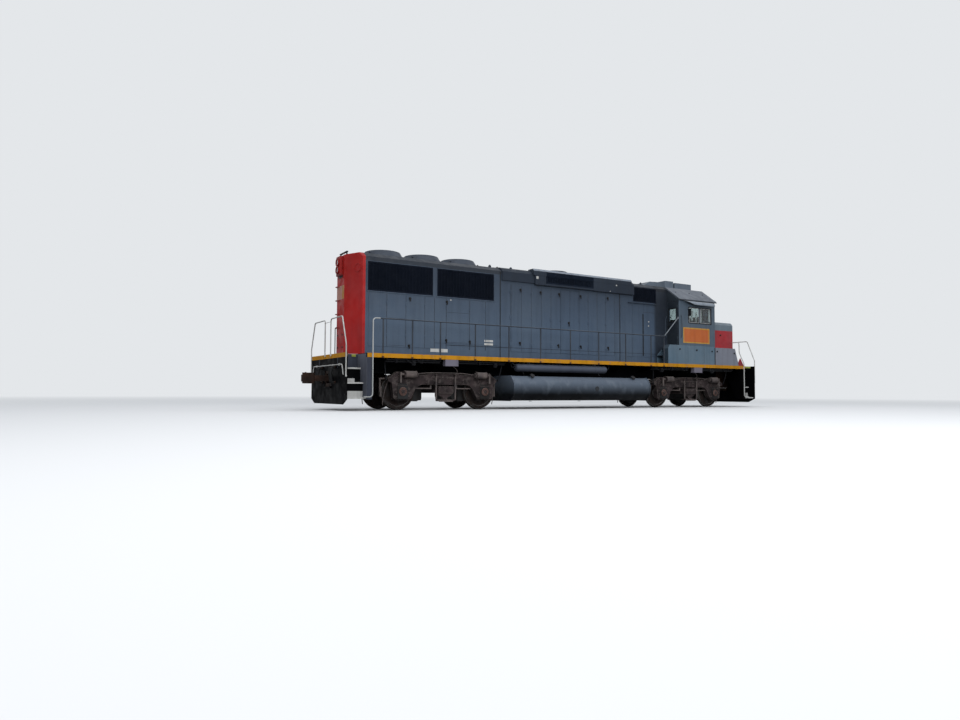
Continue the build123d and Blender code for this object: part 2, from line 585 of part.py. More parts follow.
truck_parts = {
    "truck_frame": [make_truck_frame()],
    "truck_suspension": [mirrored(make_journal_box(-AXLE_X)), mirrored(make_journal_box(AXLE_X)),
                         mirrored(make_links()), make_bolster()],
    "traction_motors": [make_motor(-1), make_motor(1)],
    "brake_gear": [make(sign, side) for make in (make_brake, make_brake_rod, make_shoe)
                   for sign in (-1, 1) for side in (-1, 1)],
}
for place, end in (("front", 1), ("rear", -1)):
    seat = Pos(end * TRUCK_X, 0, 0) * Rot(0, 0, 0 if end > 0 else 180)
    for node, group in truck_parts.items():
        write(f"{node}_{place}", [seat * piece for piece in solids_of(group)])
wheelset = make_wheelset()
for number, x in enumerate((TRUCK_X + AXLE_X, TRUCK_X - AXLE_X, AXLE_X - TRUCK_X, -AXLE_X - TRUCK_X), 1):
    write(f"wheelset_{number}", Pos(x, 0, AXLE_Z) * wheelset)

# Long hood
# Three lengths of sheet-steel hood on the deck: radiators at the rear, the engine in the middle
# and the electrical cabinet against the cab. Doors stand a little proud of the hood's side, and
# the rear end narrows to a flat that carries the lamps.
EAVES_SHARE = 0.4           # of the wall's thickness that the sloping eaves show inside
END_ROUND = 30              # of the edge between the roof and the rear end
DOOR_PROUD = 8
DOOR_GAP = 10
DOOR_LOW_Z = DECK_Z + 230
LEDGE_Z = DECK_Z + 400      # below the higher doors
DOOR_HIGH_Z = HOOD_EAVES_Z - 400
RADIATOR_Z = (HOOD_EAVES_Z - 970, HOOD_EAVES_Z - 140)
RADIATOR_WINDOWS = (        # start from the taper, and length
    (150, 2060),
    (2350, 2000),
)
INTAKE = (1690, 1140)       # start behind the cab, and length
INTAKE_Z = (HOOD_EAVES_Z - 560, HOOD_EAVES_Z - 40)
FIRST_FAN = 990             # from the taper to the first fan's centre
FAN_PITCH = 1290
FANS = 3
FAN_D = 1000                # of the hole for a fan
DOOR_PITCH = 395            # of the engine doors
DOORS_START = 405           # from the start of the engine's hood to its first door
DOORS_END = 240             # least distance from the last door to the hood's end
ACCESSORY_START = 180       # from the taper to the first fixed door
ACCESSORY_DOORS = (         # width and low edge of the fixed doors below the radiators
    (550, DOOR_LOW_Z), (590, DOOR_LOW_Z), (600, DOOR_LOW_Z), (310, DOOR_LOW_Z),
    (390, LEDGE_Z), (800, LEDGE_Z), (560, LEDGE_Z), (460, LEDGE_Z),
)
CABINET_DOORS = (           # start from the engine's hood, width, and height below the eaves
    (40, 540, 730), (590, 510, 630), (1140, 400, 630),
)
CLASS_LAMP_D = 250          # of the round blank on each slanting panel of the rear end
CLASS_LAMP_RIM = 16
CLASS_LAMP_Z = HOOD_EAVES_Z - 320
CLASS_LAMP_SHARE = 0.26     # of the panel's width, from its outer edge

fan_x = [HOOD_CORNER_X + FIRST_FAN + i * FAN_PITCH for i in range(FANS)]
radiator_windows = [(HOOD_CORNER_X + start, HOOD_CORNER_X + start + length) for start, length in RADIATOR_WINDOWS]
intake_x = (CAB_REAR_X - INTAKE[0], CAB_REAR_X - INTAKE[0] + INTAKE[1])
first_door_x = ENGINE_HOOD_X[0] + DOORS_START
engine_doors = floor((ENGINE_HOOD_X[1] - DOORS_END - first_door_x) / DOOR_PITCH)
hung_pair = (engine_doors // 2, engine_doors // 2 + 1)      # the doors that are hung on hinges


def tapered_plan(x_flat, out, x_far, taper, half, flat_half, wall=0):
    """Plan of a hood that narrows to a flat end towards out, or of the space inside its wall."""
    slant = atan2(half - flat_half, taper)
    x_end = x_flat - out * wall
    x_corner = x_flat - out * (taper + wall * tan(slant / 2))
    y_end = flat_half - wall * tan(pi / 4 - slant / 2)
    y_side = half - wall
    return [(x_far, -y_side), (x_corner, -y_side), (x_end, -y_end), (x_end, y_end), (x_corner, y_side),
            (x_far, y_side)]


def hood_section(x0, x1, wall=0):
    """A length of the hood's outer shape, or of the space inside its wall."""
    half = HOOD_HALF_W - wall
    top_half = HOOD_TOP_HALF_W - wall * EAVES_SHARE
    eaves = HOOD_EAVES_Z - wall * EAVES_SHARE
    return profile_yz([(-half, DECK_Z), (-half, eaves), (-top_half, HOOD_TOP_Z - wall),
                       (top_half, HOOD_TOP_Z - wall), (half, eaves), (half, DECK_Z)], x0, x1)


def rear_end(x_far, wall=0):
    """The plan of the hood's narrowing rear end as an upright solid."""
    return profile_xy(tapered_plan(HOOD_REAR_X, -1, x_far, HOOD_TAPER, HOOD_HALF_W, HOOD_FLAT_HALF_W, wall),
                      DECK_Z - 10, HOOD_TOP_Z + 10)


def side_cut(x0, x1, z0, z1):
    """A cut through both side walls of the hood."""
    return block(x0, x1, -HOOD_HALF_W - 20, HOOD_HALF_W + 20, z0, z1)


def door_panels(doors):
    """Shut doors, given as x0, x1, z0 and z1, as plates that stand proud of both sides."""
    plates = []
    for x0, x1, z0, z1 in doors:
        plates += mirrored(block(x0, x1, -HOOD_HALF_W - DOOR_PROUD, -HOOD_HALF_W + 10, z0, z1))
    return plates


def make_class_lamp(side):
    """The rim and blank plate of a round lamp on a slanting panel of the rear end."""
    width = HOOD_HALF_W - HOOD_FLAT_HALF_W
    x = HOOD_CORNER_X - HOOD_TAPER * CLASS_LAMP_SHARE
    y = HOOD_HALF_W - width * CLASS_LAMP_SHARE
    face = Plane(origin=(x, side * y, CLASS_LAMP_Z), z_dir=(-width, side * HOOD_TAPER, 0))
    rim = face * Cylinder(CLASS_LAMP_D / 2, 2 * CLASS_LAMP_RIM)
    return rim - face * Pos(0, 0, CLASS_LAMP_RIM) * Cylinder(CLASS_LAMP_D / 2 - CLASS_LAMP_RIM, CLASS_LAMP_RIM)


def make_radiator_hood():
    """The rear length: narrowing end, radiator windows and fan holes."""
    x0, x1 = HOOD_REAR_X, ENGINE_HOOD_X[0]
    hood = hood_section(x0, x1) & rear_end(x1 + 10)
    ends = [edge for edge in hood.edges() if edge.center().Z > HOOD_EAVES_Z + 10
            and edge.bounding_box().max.X < HOOD_CORNER_X + 1 and edge.bounding_box().size.Y > 1]
    hood = fillet(ends, END_ROUND)
    hood -= hood_section(x0, x1 + 1, HOOD_WALL) & rear_end(x1 + 10, HOOD_WALL)
    for low, high in radiator_windows:
        hood -= side_cut(low, high, *RADIATOR_Z)
    for x in fan_x:
        hood -= drum(x, 0, HOOD_TOP_Z - 200, FAN_D, 400)
    doors = []
    x = HOOD_CORNER_X + ACCESSORY_START
    for width, low in ACCESSORY_DOORS:
        doors.append((x, x + width, low, RADIATOR_Z[0] - 60))
        x += width + DOOR_GAP
    for plate in door_panels(doors) + [make_class_lamp(-1), make_class_lamp(1)]:
        hood += plate
    return hood


HINGE_D = 16
HINGE_H = 40
HINGE_LEAF = 50
hinge_heights = (DOOR_LOW_Z + 200, (DOOR_LOW_Z + DOOR_HIGH_Z) / 2, DOOR_HIGH_Z - 280)
door_face_y = HOOD_HALF_W + DOOR_PROUD


def engine_door_edges(index):
    """The low and high x of an engine door."""
    x0 = first_door_x + index * DOOR_PITCH
    return x0, x0 + DOOR_PITCH


def hung_doors():
    """The hinge x, the free x and the side of each hung door."""
    low = engine_door_edges(hung_pair[0])
    high = engine_door_edges(hung_pair[1])
    return [(low[0], low[1], side) for side in (-1, 1)] + [(high[1], high[0], side) for side in (-1, 1)]


def make_hinge(x, side, z, towards):
    """Half a hinge: a barrel on the hinge line and a leaf towards a door or its neighbour."""
    y = side * (door_face_y + 10)
    hinge = drum(x, y, z, HINGE_D, HINGE_H)
    hinge += span(x + towards * 5, x + towards * HINGE_LEAF, side * (door_face_y - 1), side * (door_face_y + 5),
                  z, z + HINGE_H)
    return hinge + span(x, x + towards * 7, y, side * (door_face_y + 4), z, z + HINGE_H)


def make_engine_hood():
    """The middle length: the row of engine doors, with an opening behind the hung pair."""
    x0, x1 = ENGINE_HOOD_X
    hood = hood_section(x0, x1) - hood_section(x0 - 1, x1 + 1, HOOD_WALL)
    edges = [engine_door_edges(i) for i in range(engine_doors) if i not in hung_pair]
    for plate in door_panels([(low + 4, high - 4, DOOR_LOW_Z, DOOR_HIGH_Z) for low, high in edges]):
        hood += plate
    hood -= side_cut(engine_door_edges(hung_pair[0])[0], engine_door_edges(hung_pair[1])[1],
                     DOOR_LOW_Z, DOOR_HIGH_Z)
    hood -= drum(brake_fan_x, 0, HOOD_TOP_Z - 200, FAN_D, 400)
    for x, free, side in hung_doors():
        away = -1 if free > x else 1
        for z in hinge_heights:
            hood += make_hinge(x, side, z, away)
    return hood


def make_hung_door(x, free, side):
    """A hood door as thick as the wall, with its half of the hinges."""
    towards = 1 if free > x else -1
    door = span(x + towards * SWING_GAP, free - towards * SWING_GAP / 2,
                side * (HOOD_HALF_W - HOOD_WALL + SWING_GAP), side * door_face_y,
                DOOR_LOW_Z + SWING_GAP, DOOR_HIGH_Z - SWING_GAP)
    for z in hinge_heights:
        door += make_hinge(x, side, z + HINGE_H + SEAT_GAP, towards)
    return door


def make_cabinet_hood():
    """The front length: electrical cabinet with the air intake high on each side."""
    x0, x1 = ENGINE_HOOD_X[1], CAB_REAR_X
    hood = hood_section(x0, x1) - hood_section(x0 - 1, x1 - HOOD_WALL, HOOD_WALL)
    doors = [(x0 + start, x0 + start + width, DOOR_LOW_Z, HOOD_EAVES_Z - drop)
             for start, width, drop in CABINET_DOORS]
    for plate in door_panels(doors):
        hood += plate
    return hood - side_cut(*intake_x, *INTAKE_Z)


# Dynamic brake band
# Boxes that stand out along the top of the engine hood on both sides, with a long grille between
# them, and a fan on the roof behind the grille.
BAND_OUT = 1060             # centreline to the outer face of the band
FASCIA_OUT = 1010           # centreline to the outer face of its flush rear part
FASCIA = (50, 1250)         # start from the engine hood's rear, and length
REAR_BOX_LENGTH = 430
FRONT_BOX = (610, 1870)     # end beyond the engine hood's front, and length
BAND_LOW_Z = HOOD_EAVES_Z - 330
BAND_LIP_Z = HOOD_TOP_Z + 25        # where the band's top laps the roof
BAND_LAP = 60
BAND_SLOPE = (80, 90)       # width and height of the slanting top edge
GRILLE_SILL = 60
GRILLE_HEAD_Z = HOOD_EAVES_Z - 10   # top of the brake grille
BRAKE_FAN_OFFSET = 20       # of the brake fan from the grille's middle

fascia_x = (ENGINE_HOOD_X[0] + FASCIA[0], ENGINE_HOOD_X[0] + sum(FASCIA))
rear_box_x = (fascia_x[1], fascia_x[1] + REAR_BOX_LENGTH)
front_box_x = (ENGINE_HOOD_X[1] + FRONT_BOX[0] - FRONT_BOX[1], ENGINE_HOOD_X[1] + FRONT_BOX[0])
brake_grille_x = (rear_box_x[1] + 20, front_box_x[0])
brake_fan_x = sum(brake_grille_x) / 2 + BRAKE_FAN_OFFSET
band_roof = [(-HOOD_TOP_HALF_W, BAND_LIP_Z), (-HOOD_TOP_HALF_W + BAND_LAP, BAND_LIP_Z),
             (-HOOD_TOP_HALF_W + BAND_LAP, HOOD_TOP_Z), (-HOOD_TOP_HALF_W, HOOD_TOP_Z), (-HOOD_HALF_W, HOOD_EAVES_Z)]


def make_brake_band():
    """The right-hand band, each box with a sloping top that meets the roof."""
    width, height = BAND_SLOPE
    band = None
    for (x0, x1), z0, z1, out in ((fascia_x, BAND_LOW_Z + 40, HOOD_TOP_Z - 30, FASCIA_OUT),
                                  (rear_box_x, BAND_LOW_Z, HOOD_TOP_Z - 40, BAND_OUT),
                                  (front_box_x, BAND_LOW_Z - 10, HOOD_TOP_Z - 20, BAND_OUT)):
        piece = profile_yz([(-HOOD_HALF_W, z0), (-out, z0), (-out, z1 - height), (-out + width, z1)] + band_roof,
                           x0, x1)
        band = piece if band is None else band + piece
    x0, x1 = rear_box_x[1], brake_grille_x[1]
    band += block(x0, x1, -BAND_OUT, -HOOD_HALF_W, BAND_LOW_Z, BAND_LOW_Z + GRILLE_SILL)
    return band + profile_yz([(-BAND_OUT, GRILLE_HEAD_Z), (-BAND_OUT, GRILLE_HEAD_Z + 40),
                              (-BAND_OUT + width, GRILLE_HEAD_Z + 40 + height)] + band_roof, x0, x1)


write("radiator_hood", make_radiator_hood())
write("engine_hood", make_engine_hood())
write("cabinet_hood", make_cabinet_hood())
for (x, free, side), name in zip(hung_doors(), ("right_rear", "left_rear", "right_front", "left_front")):
    write(f"hood_door_{name}", make_hung_door(x, free, side))
write("brake_band", mirrored(make_brake_band()))

# Grilles
# Dark air grilles in the hood's sides and in the brake band: a frame with upright bars in front
# of a core.
BAR_PITCH = 103
BAR_HALF_W = 8
GRILLE_FRAME = 45
GRILLE_DEPTH = 36
GRILLE_CORE = 14


def make_grille(x0, x1, z0, z1, y_out):
    """A grille on the right-hand side whose face is at y = -y_out."""
    grille = block(x0, x1, -y_out, -y_out + GRILLE_DEPTH, z0, z1)
    grille -= block(x0 + GRILLE_FRAME, x1 - GRILLE_FRAME, -y_out - 5, -y_out + GRILLE_DEPTH - GRILLE_CORE,
                    z0 + GRILLE_FRAME, z1 - GRILLE_FRAME)
    bars = round((x1 - x0 - 2 * GRILLE_FRAME) / BAR_PITCH)
    for x in evenly(x0 + GRILLE_FRAME, x1 - GRILLE_FRAME, bars + 1)[1:-1]:
        grille += block(x - BAR_HALF_W, x + BAR_HALF_W, -y_out + 4, -y_out + 24, z0 + 20, z1 - 20)
    return grille


side_grilles = [make_grille(x0, x1, *RADIATOR_Z, HOOD_HALF_W + 2) for x0, x1 in radiator_windows]
side_grilles.append(make_grille(*intake_x, *INTAKE_Z, HOOD_HALF_W + 2))
write("hood_grilles", [mirrored(grille) for grille in side_grilles])
write("brake_grilles",
      mirrored(make_grille(*brake_grille_x, BAND_LOW_Z + GRILLE_SILL, GRILLE_HEAD_Z, BAND_OUT - 10)))

# Fans
# Each fan turns under a round cowl on the roof, on a spider of four arms.
COWL_BASE = 140             # wall of a cowl at the roof
COWL_FOOT = 35              # height of its upright foot
COWL_LIP = 30               # wall of a cowl at its lip
COWL_H = 215
GUARD = 14                  # thickness of the guard's rings and bars
GUARD_W = 24
GUARD_RINGS = (0.3, 0.65)   # their radii as shares of the hole's
GUARD_BARS = 4
SPIDER = 30                 # height of the spider's arms
SPIDER_HUB_D = 160
SPIDER_STUB = (60, 40)      # diameter and height of the stub that a fan turns on
FAN_BLADES = 8
BLADE_ANGLE = 35
BLADE = (150, 12)           # width and thickness
BLADE_ROOT = 30             # of a blade inside the hub
FAN_HUB_D = 280
FAN_HUB_H = 110
FAN_CLEAR = 15
HUB_CLEAR = 8               # between the spider and the hub


def make_cowl(x):
    """A conical cowl round a fan hole, with a guard of rings and bars and a spider below."""
    radius = FAN_D / 2
    low, high = HOOD_TOP_Z, HOOD_TOP_Z + COWL_H
    wall = [(radius, low), (radius + COWL_BASE, low), (radius + COWL_BASE, low + COWL_FOOT),
            (radius + COWL_LIP, high), (radius, high)]
    ring = revolve(make_face(Polyline([(r, 0, z) for r, z in wall], close=True)), axis=Axis.Z)
    guard_z = high - GUARD
    for r in (radius * GUARD_RINGS[0], radius * GUARD_RINGS[1]):
        ring += drum(0, 0, guard_z, 2 * r + GUARD_W, GUARD) - drum(0, 0, guard_z - 1, 2 * r - GUARD_W, GUARD + 2)
    for i in range(GUARD_BARS):
        ring += Pos(0, 0, guard_z + GUARD / 2) * Rot(0, 0, 180 / GUARD_BARS * i) * Box(FAN_D + 10, GUARD_W, GUARD)
    ring += Pos(0, 0, low + SPIDER / 2) * (Box(FAN_D + 10, 2 * SPIDER, SPIDER) + Box(2 * SPIDER, FAN_D + 10, SPIDER))
    ring += drum(0, 0, low, SPIDER_HUB_D, SPIDER)
    return Pos(x, 0, 0) * (ring + drum(0, 0, low + SPIDER, *SPIDER_STUB))


def make_fan(x):
    """A rotor that rests on the spider's stub, its blades set at an angle."""
    radius = FAN_D / 2 - FAN_CLEAR
    hub_r = FAN_HUB_D / 2
    low = HOOD_TOP_Z + SPIDER + HUB_CLEAR
    stub_d, stub_h = SPIDER_STUB
    hub = drum(0, 0, low, FAN_HUB_D, FAN_HUB_H)
    hub -= drum(0, 0, low - 1, stub_d + 2 * SEAT_GAP, stub_h - HUB_CLEAR + 1 + SEAT_GAP)
    root = hub_r - BLADE_ROOT
    blade = Pos((radius + root) / 2, 0, 0) * Rot(BLADE_ANGLE, 0, 0) * Box(radius - root, *BLADE)
    for i in range(FAN_BLADES):
        hub += Pos(0, 0, low + FAN_HUB_H / 2) * Rot(0, 0, 360 / FAN_BLADES * i) * blade
    return Pos(x, 0, 0) * hub


write("fan_cowls", [make_cowl(x) for x in fan_x], make_cowl(brake_fan_x))
for number, x in enumerate(fan_x, 1):
    write(f"radiator_fan_{number}", make_fan(x))
write("brake_fan", make_fan(brake_fan_x))

# Roof fittings and engine
# The exhaust stack and the air horn stand on the roof. The engine and its generator are plain
# blocks at their real places on the deck.
STACK_TO_CABINET = 610      # from the stack to the cabinet hood
STACK = (700, 500, 40)      # length, width and thickness of its flange
STACK_OUTLET = (560, 360, 160)
STACK_WALL = 20
HORN_TO_ENGINE = 60         # from the horn back to the engine hood's rear end
TRUMPETS = (                # y, length, and 1 for forward or -1 for backward
    (-150, 430, 1),
    (0, 380, 1),
    (150, 330, 1),
    (-75, 230, -1),
    (75, 180, -1),
)
ENGINE_H = 1790
ENGINE_HALF_W = 620
GENERATOR_H = 1390
GENERATOR_HALF_W = 520

stack_x = ENGINE_HOOD_X[1] - STACK_TO_CABINET
horn_x = ENGINE_HOOD_X[0] - HORN_TO_ENGINE


def make_stack():
    """A rectangular exhaust outlet on the hood's roof."""
    length, width, thick = STACK
    stack = block(-length / 2, length / 2, -width / 2, width / 2, 0, thick)
    length, width, height = STACK_OUTLET
    stack += block(-length / 2, length / 2, -width / 2, width / 2, 0, height)
    stack -= block(-length / 2 + STACK_WALL, length / 2 - STACK_WALL, -width / 2 + STACK_WALL,
                   width / 2 - STACK_WALL, thick + STACK_WALL, height + 10)
    return Pos(stack_x, 0, HOOD_TOP_Z) * stack


def make_horn():
    """Trumpets of several lengths on one air manifold."""
    horn = block(-60, 60, -60, 60, 0, 50) + block(-40, 40, -190, 190, 40, 80)
    for y, length, way in TRUMPETS:
        bell = Plane(origin=(0, y, 110), z_dir=(way, 0, 0))
        horn += bell * Pos(0, 0, length / 2) * Cone(20, 38, length)
        horn += bell * Pos(0, 0, length) * Cone(38, 72, 50)
        horn += drum(0, y, 60, 40, 50)
    return Pos(horn_x, 0, HOOD_TOP_Z) * horn


write("exhaust_stack", make_stack())
write("air_horn", make_horn())
write("engine", block(ENGINE_HOOD_X[0] + 300, stack_x, -ENGINE_HALF_W, ENGINE_HALF_W, DECK_Z, DECK_Z + ENGINE_H)
      + block(stack_x, ENGINE_HOOD_X[1] + 640, -GENERATOR_HALF_W, GENERATOR_HALF_W, DECK_Z, DECK_Z + GENERATOR_H))

# Cab
# Side walls, end walls, a floor on a raised base and a creased roof, all with the full wall's
# thickness and with their windows cut.
SIDE_WINDOW_INSET = (520, 220)      # from the cab's rear and front
SIDE_WINDOW_Z = (CAB_EAVES_Z - 840, CAB_EAVES_Z - 290)
WINDOW_POST = 40                    # between the two panes of a side window
WINDSHIELD_Y = (60, CAB_TOP_HALF_W - 20)
WINDSHIELD_Z = (NOSE_TOP_Z + 160, CAB_EAVES_Z + 30)
CORNER_WINDOW_Y = (CAB_HALF_W - 470, CAB_HALF_W - 120)
CORNER_WINDOW_Z = (CAB_EAVES_Z - 930, CAB_EAVES_Z - 290)
DOOR_Y = (CAB_HALF_W - 550, CAB_HALF_W - 60)        # of the cab doors, at one side of an end wall
CAB_DOOR_Z = (CAB_FLOOR_Z + 22, CAB_EAVES_Z - 70)
DOOR_WINDOW_Y = (CAB_HALF_W - 465, CAB_HALF_W - 140)
DOOR_WINDOW_Z = (CAB_EAVES_Z - 810, CAB_EAVES_Z - 350)
ROOF_THICK = 50
ROOF_OVERHANG = 50
ROOF_CREASE = 40                    # of the crease below the ridge
GLASS = 8
GLASS_INSET = 20
CAB_HINGE_D = 18
CAB_HINGE_OUT = 11                  # of a hinge's pin from the wall

side_window_x = (CAB_REAR_X + SIDE_WINDOW_INSET[0], CAB_FRONT_X - SIDE_WINDOW_INSET[1])
side_post_x = sum(side_window_x) / 2
cab_hinge_heights = (CAB_DOOR_Z[0] + 200, CAB_DOOR_Z[1] - 240)


def cab_outline(grow=0, top_cut=0):
    """The cab's cross-section as (y, z) points."""
    right = [(CAB_HALF_W + grow, CAB_FLOOR_Z), (CAB_HALF_W + grow, CAB_EAVES_Z - top_cut),
             (CAB_TOP_HALF_W, CAB_TOP_Z - ROOF_CREASE - top_cut)]
    return [(-y, z) for y, z in right] + [(0, CAB_TOP_Z - top_cut)] + right[::-1]


def make_cab_side():
    """The right-hand side wall, between the end walls."""
    wall = block(CAB_REAR_X + CAB_WALL, CAB_FRONT_X - CAB_WALL, -CAB_HALF_W, -CAB_HALF_W + CAB_WALL,
                 CAB_FLOOR_Z, CAB_EAVES_Z - ROOF_THICK)
    wall -= block(*side_window_x, -CAB_HALF_W - 10, -CAB_HALF_W + CAB_WALL + 10, *SIDE_WINDOW_Z)
    return wall + block(side_post_x - WINDOW_POST / 2, side_post_x + WINDOW_POST / 2, -CAB_HALF_W + 5,
                        -CAB_HALF_W + 35, *SIDE_WINDOW_Z)


def cut_window(wall, y, z, sides):
    """An end wall with a window cut at the same place on the given sides."""
    for side in sides:
        wall -= span(CAB_REAR_X - 10, CAB_FRONT_X + 10, side * y[0], side * y[1], *z)
    return wall


def make_cab_hinge(x_face, out, y, z, towards):
    """Half a hinge on the outer face of an end wall: out is 1 at the front and -1 at the rear."""
    x = x_face + out * CAB_HINGE_OUT
    hinge = drum(x, y, z, CAB_HINGE_D, HINGE_H)
    hinge += span(x_face - out, x_face + out * 4, y + towards * 4, y + towards * 60, z, z + HINGE_H)
    return hinge + span(x_face + out * 3, x, y, y + towards * 6, z, z + HINGE_H)


def make_cab_end(x_face, out, door_side):
    """An end wall with a doorway at one side and its half of the door's hinges."""
    wall = profile_yz(cab_outline(0, ROOF_THICK), *sorted((x_face, x_face - out * CAB_WALL)))
    wall = cut_window(wall, DOOR_Y, CAB_DOOR_Z, (door_side,))
    for z in cab_hinge_heights:
        wall += make_cab_hinge(x_face, out, door_side * DOOR_Y[1], z, door_side)
    return wall


def make_cab_door(x_face, out, side):
    """A cab door hinged at its outer edge, with its window and its half of the hinges."""
    x0, x1 = sorted((x_face, x_face - out * CAB_WALL))
    door = span(x0, x1, side * (DOOR_Y[0] + SWING_GAP), side * (DOOR_Y[1] - SWING_GAP),
                CAB_DOOR_Z[0] + SWING_GAP, CAB_DOOR_Z[1] - SWING_GAP)
    door = cut_window(door, DOOR_WINDOW_Y, DOOR_WINDOW_Z, (side,))
    for z in cab_hinge_heights:
        door += make_cab_hinge(x_face, out, side * DOOR_Y[1], z + HINGE_H + SEAT_GAP, -side)
    return door


def make_door_glass(x_face, out, side):
    """The pane in the window of a cab door."""
    x = x_face - out * CAB_WALL / 2
    return span(x, x + GLASS, side * DOOR_WINDOW_Y[0], side * DOOR_WINDOW_Y[1], *DOOR_WINDOW_Z)


def make_cab_roof():
    """The creased roof, standing over the walls at the sides and the front."""
    outer = profile_yz(cab_outline(ROOF_OVERHANG), CAB_REAR_X, CAB_FRONT_X + ROOF_OVERHANG)
    return outer - profile_yz(cab_outline(ROOF_OVERHANG + 5, ROOF_THICK), CAB_REAR_X - 100, CAB_FRONT_X + 100)


def make_cab_glass():
    """Panes in the middle of the walls."""
    panes = []
    y = -CAB_HALF_W + GLASS_INSET
    for x0, x1 in ((side_window_x[0], side_post_x - WINDOW_POST / 2),
                   (side_post_x + WINDOW_POST / 2, side_window_x[1])):
        panes += mirrored(block(x0, x1, y, y + GLASS, *SIDE_WINDOW_Z))
    front, rear = CAB_FRONT_X - CAB_WALL / 2, CAB_REAR_X + CAB_WALL / 2
    for x, side, y, z in ((front, -1, WINDSHIELD_Y, WINDSHIELD_Z), (front, 1, WINDSHIELD_Y, WINDSHIELD_Z),
                          (front, -1, CORNER_WINDOW_Y, CORNER_WINDOW_Z), (rear, 1, DOOR_WINDOW_Y, DOOR_WINDOW_Z)):
        panes.append(span(x, x + GLASS, side * y[0], side * y[1], *z))
    return panes


front_wall = cut_window(make_cab_end(CAB_FRONT_X, 1, 1), WINDSHIELD_Y, WINDSHIELD_Z, (-1, 1))
front_wall = cut_window(front_wall, CORNER_WINDOW_Y, CORNER_WINDOW_Z, (-1,))
rear_wall = cut_window(make_cab_end(CAB_REAR_X, -1, -1), DOOR_WINDOW_Y, DOOR_WINDOW_Z, (1,))
cab_roof = make_cab_roof()
write("cab_side_walls", mirrored(make_cab_side()))
write("cab_end_walls", front_wall, rear_wall)
write("cab_roof", cab_roof)
write("cab_glass", make_cab_glass())
write("cab_door_rear", make_cab_door(CAB_REAR_X, -1, -1))
write("cab_door_front", make_cab_door(CAB_FRONT_X, 1, 1))
write("cab_door_glass_rear", make_door_glass(CAB_REAR_X, -1, -1))
write("cab_door_glass_front", make_door_glass(CAB_FRONT_X, 1, 1))

# Cab base, equipment boxes and door steps
# The raised base under the cab floor, a narrow box beside it at each edge of the deck, a lower
# box beside the nose, and two steps up to each cab door. A gusset stands at the front corner.
SIDE_BOX_START = 550        # of the box behind the cab's rear wall
SIDE_BOX_END = 30           # of the box's front end behind the cab's front
SIDE_BOX_W = 260
SIDE_BOX_CUT = (70, 130)    # length and height cut off its upper rear corner
NOSE_BOX = (20, 1300)       # start ahead of the cab, and length
NOSE_BOX_TOP_Z = CAB_FLOOR_Z - 30
NOSE_BOX_SLANT = 190
NOSE_BOX_W = 550
DOOR_STEPS = (              # height of a tread above the deck, and its outer edge from the wall
    (300, 540),
    (540, 280),
)
DOOR_STEP_DEPTH = 270
GUSSET = (540, 950, 300, 20)        # near and far edge from the end sheet, height, thickness
GUSSET_INSET = 80           # from the sill's face

base_half_w = CAB_HALF_W - SIDE_BOX_W
nose_box_x = (CAB_FRONT_X + NOSE_BOX[0], CAB_FRONT_X + sum(NOSE_BOX))


def make_side_box():
    """The right-hand box along the deck's edge under the cab."""
    x0, x1 = CAB_REAR_X - SIDE_BOX_START, CAB_FRONT_X - SIDE_BOX_END
    length, height = SIDE_BOX_CUT
    return profile_xz([(x0, DECK_Z), (x0, CAB_FLOOR_Z - height), (x0 + length, CAB_FLOOR_Z),
                       (x1, CAB_FLOOR_Z), (x1, DECK_Z)], -CAB_HALF_W, -base_half_w)


def make_door_steps(x_wall, out, y0, y1):
    """Two treads between two side plates, in front of a cab door."""
    far = x_wall + out * DOOR_STEPS[0][1]
    near_far = x_wall + out * DOOR_STEPS[1][1]
    outline = [(x_wall, DECK_Z), (far, DECK_Z), (far, DECK_Z + DOOR_STEPS[0][0]),
               (near_far, DECK_Z + DOOR_STEPS[1][0]), (x_wall, DECK_Z + DOOR_STEPS[1][0])]
    steps = profile_xz(outline, y0, y0 + STEP_PLATE) + profile_xz(outline, y1 - STEP_PLATE, y1)
    for height, reach in DOOR_STEPS:
        z = DECK_Z + height
        steps += span(x_wall + out * max(0, reach - DOOR_STEP_DEPTH), x_wall + out * reach, y0, y1, z - STEP_TREAD, z)
    return steps


def make_nose_box():
    """The box beside the nose on the right, its front end slanting."""
    x0, x1 = nose_box_x
    return profile_xz([(x0, DECK_Z), (x0, NOSE_BOX_TOP_Z), (x1 - NOSE_BOX_SLANT, NOSE_BOX_TOP_Z),
                       (x1, DECK_Z + 60), (x1, DECK_Z)], -CAB_HALF_W, -CAB_HALF_W + NOSE_BOX_W)


def make_gusset():
    """A triangular plate at the deck's right-hand front corner."""
    near, far, height, thick = GUSSET
    return profile_xz([(END_SILL_X - far, DECK_Z), (END_SILL_X - near, DECK_Z),
                       (END_SILL_X - (near + far) / 2, DECK_Z + height)],
                      -CAB_HALF_W + GUSSET_INSET, -CAB_HALF_W + GUSSET_INSET + thick)


side_box = make_side_box()
rear_steps = make_door_steps(CAB_REAR_X, -1, -base_half_w, -HOOD_HALF_W - 5)
front_steps = make_door_steps(CAB_FRONT_X, 1, DOOR_Y[0], DOOR_Y[1])
write("cab_base", block(CAB_REAR_X, CAB_FRONT_X, -base_half_w, base_half_w, DECK_Z, CAB_FLOOR_Z))
write("equipment_boxes", side_box + rear_steps, mirror(side_box, about=Plane.XZ), make_nose_box(), make_gusset(),
      front_steps)

# Nose
# A low hood in front of the cab with its upper edges cut at a slant, narrowing to a flat front.
NOSE_CUT = 110
NOSE_FRONT_CUT = 90


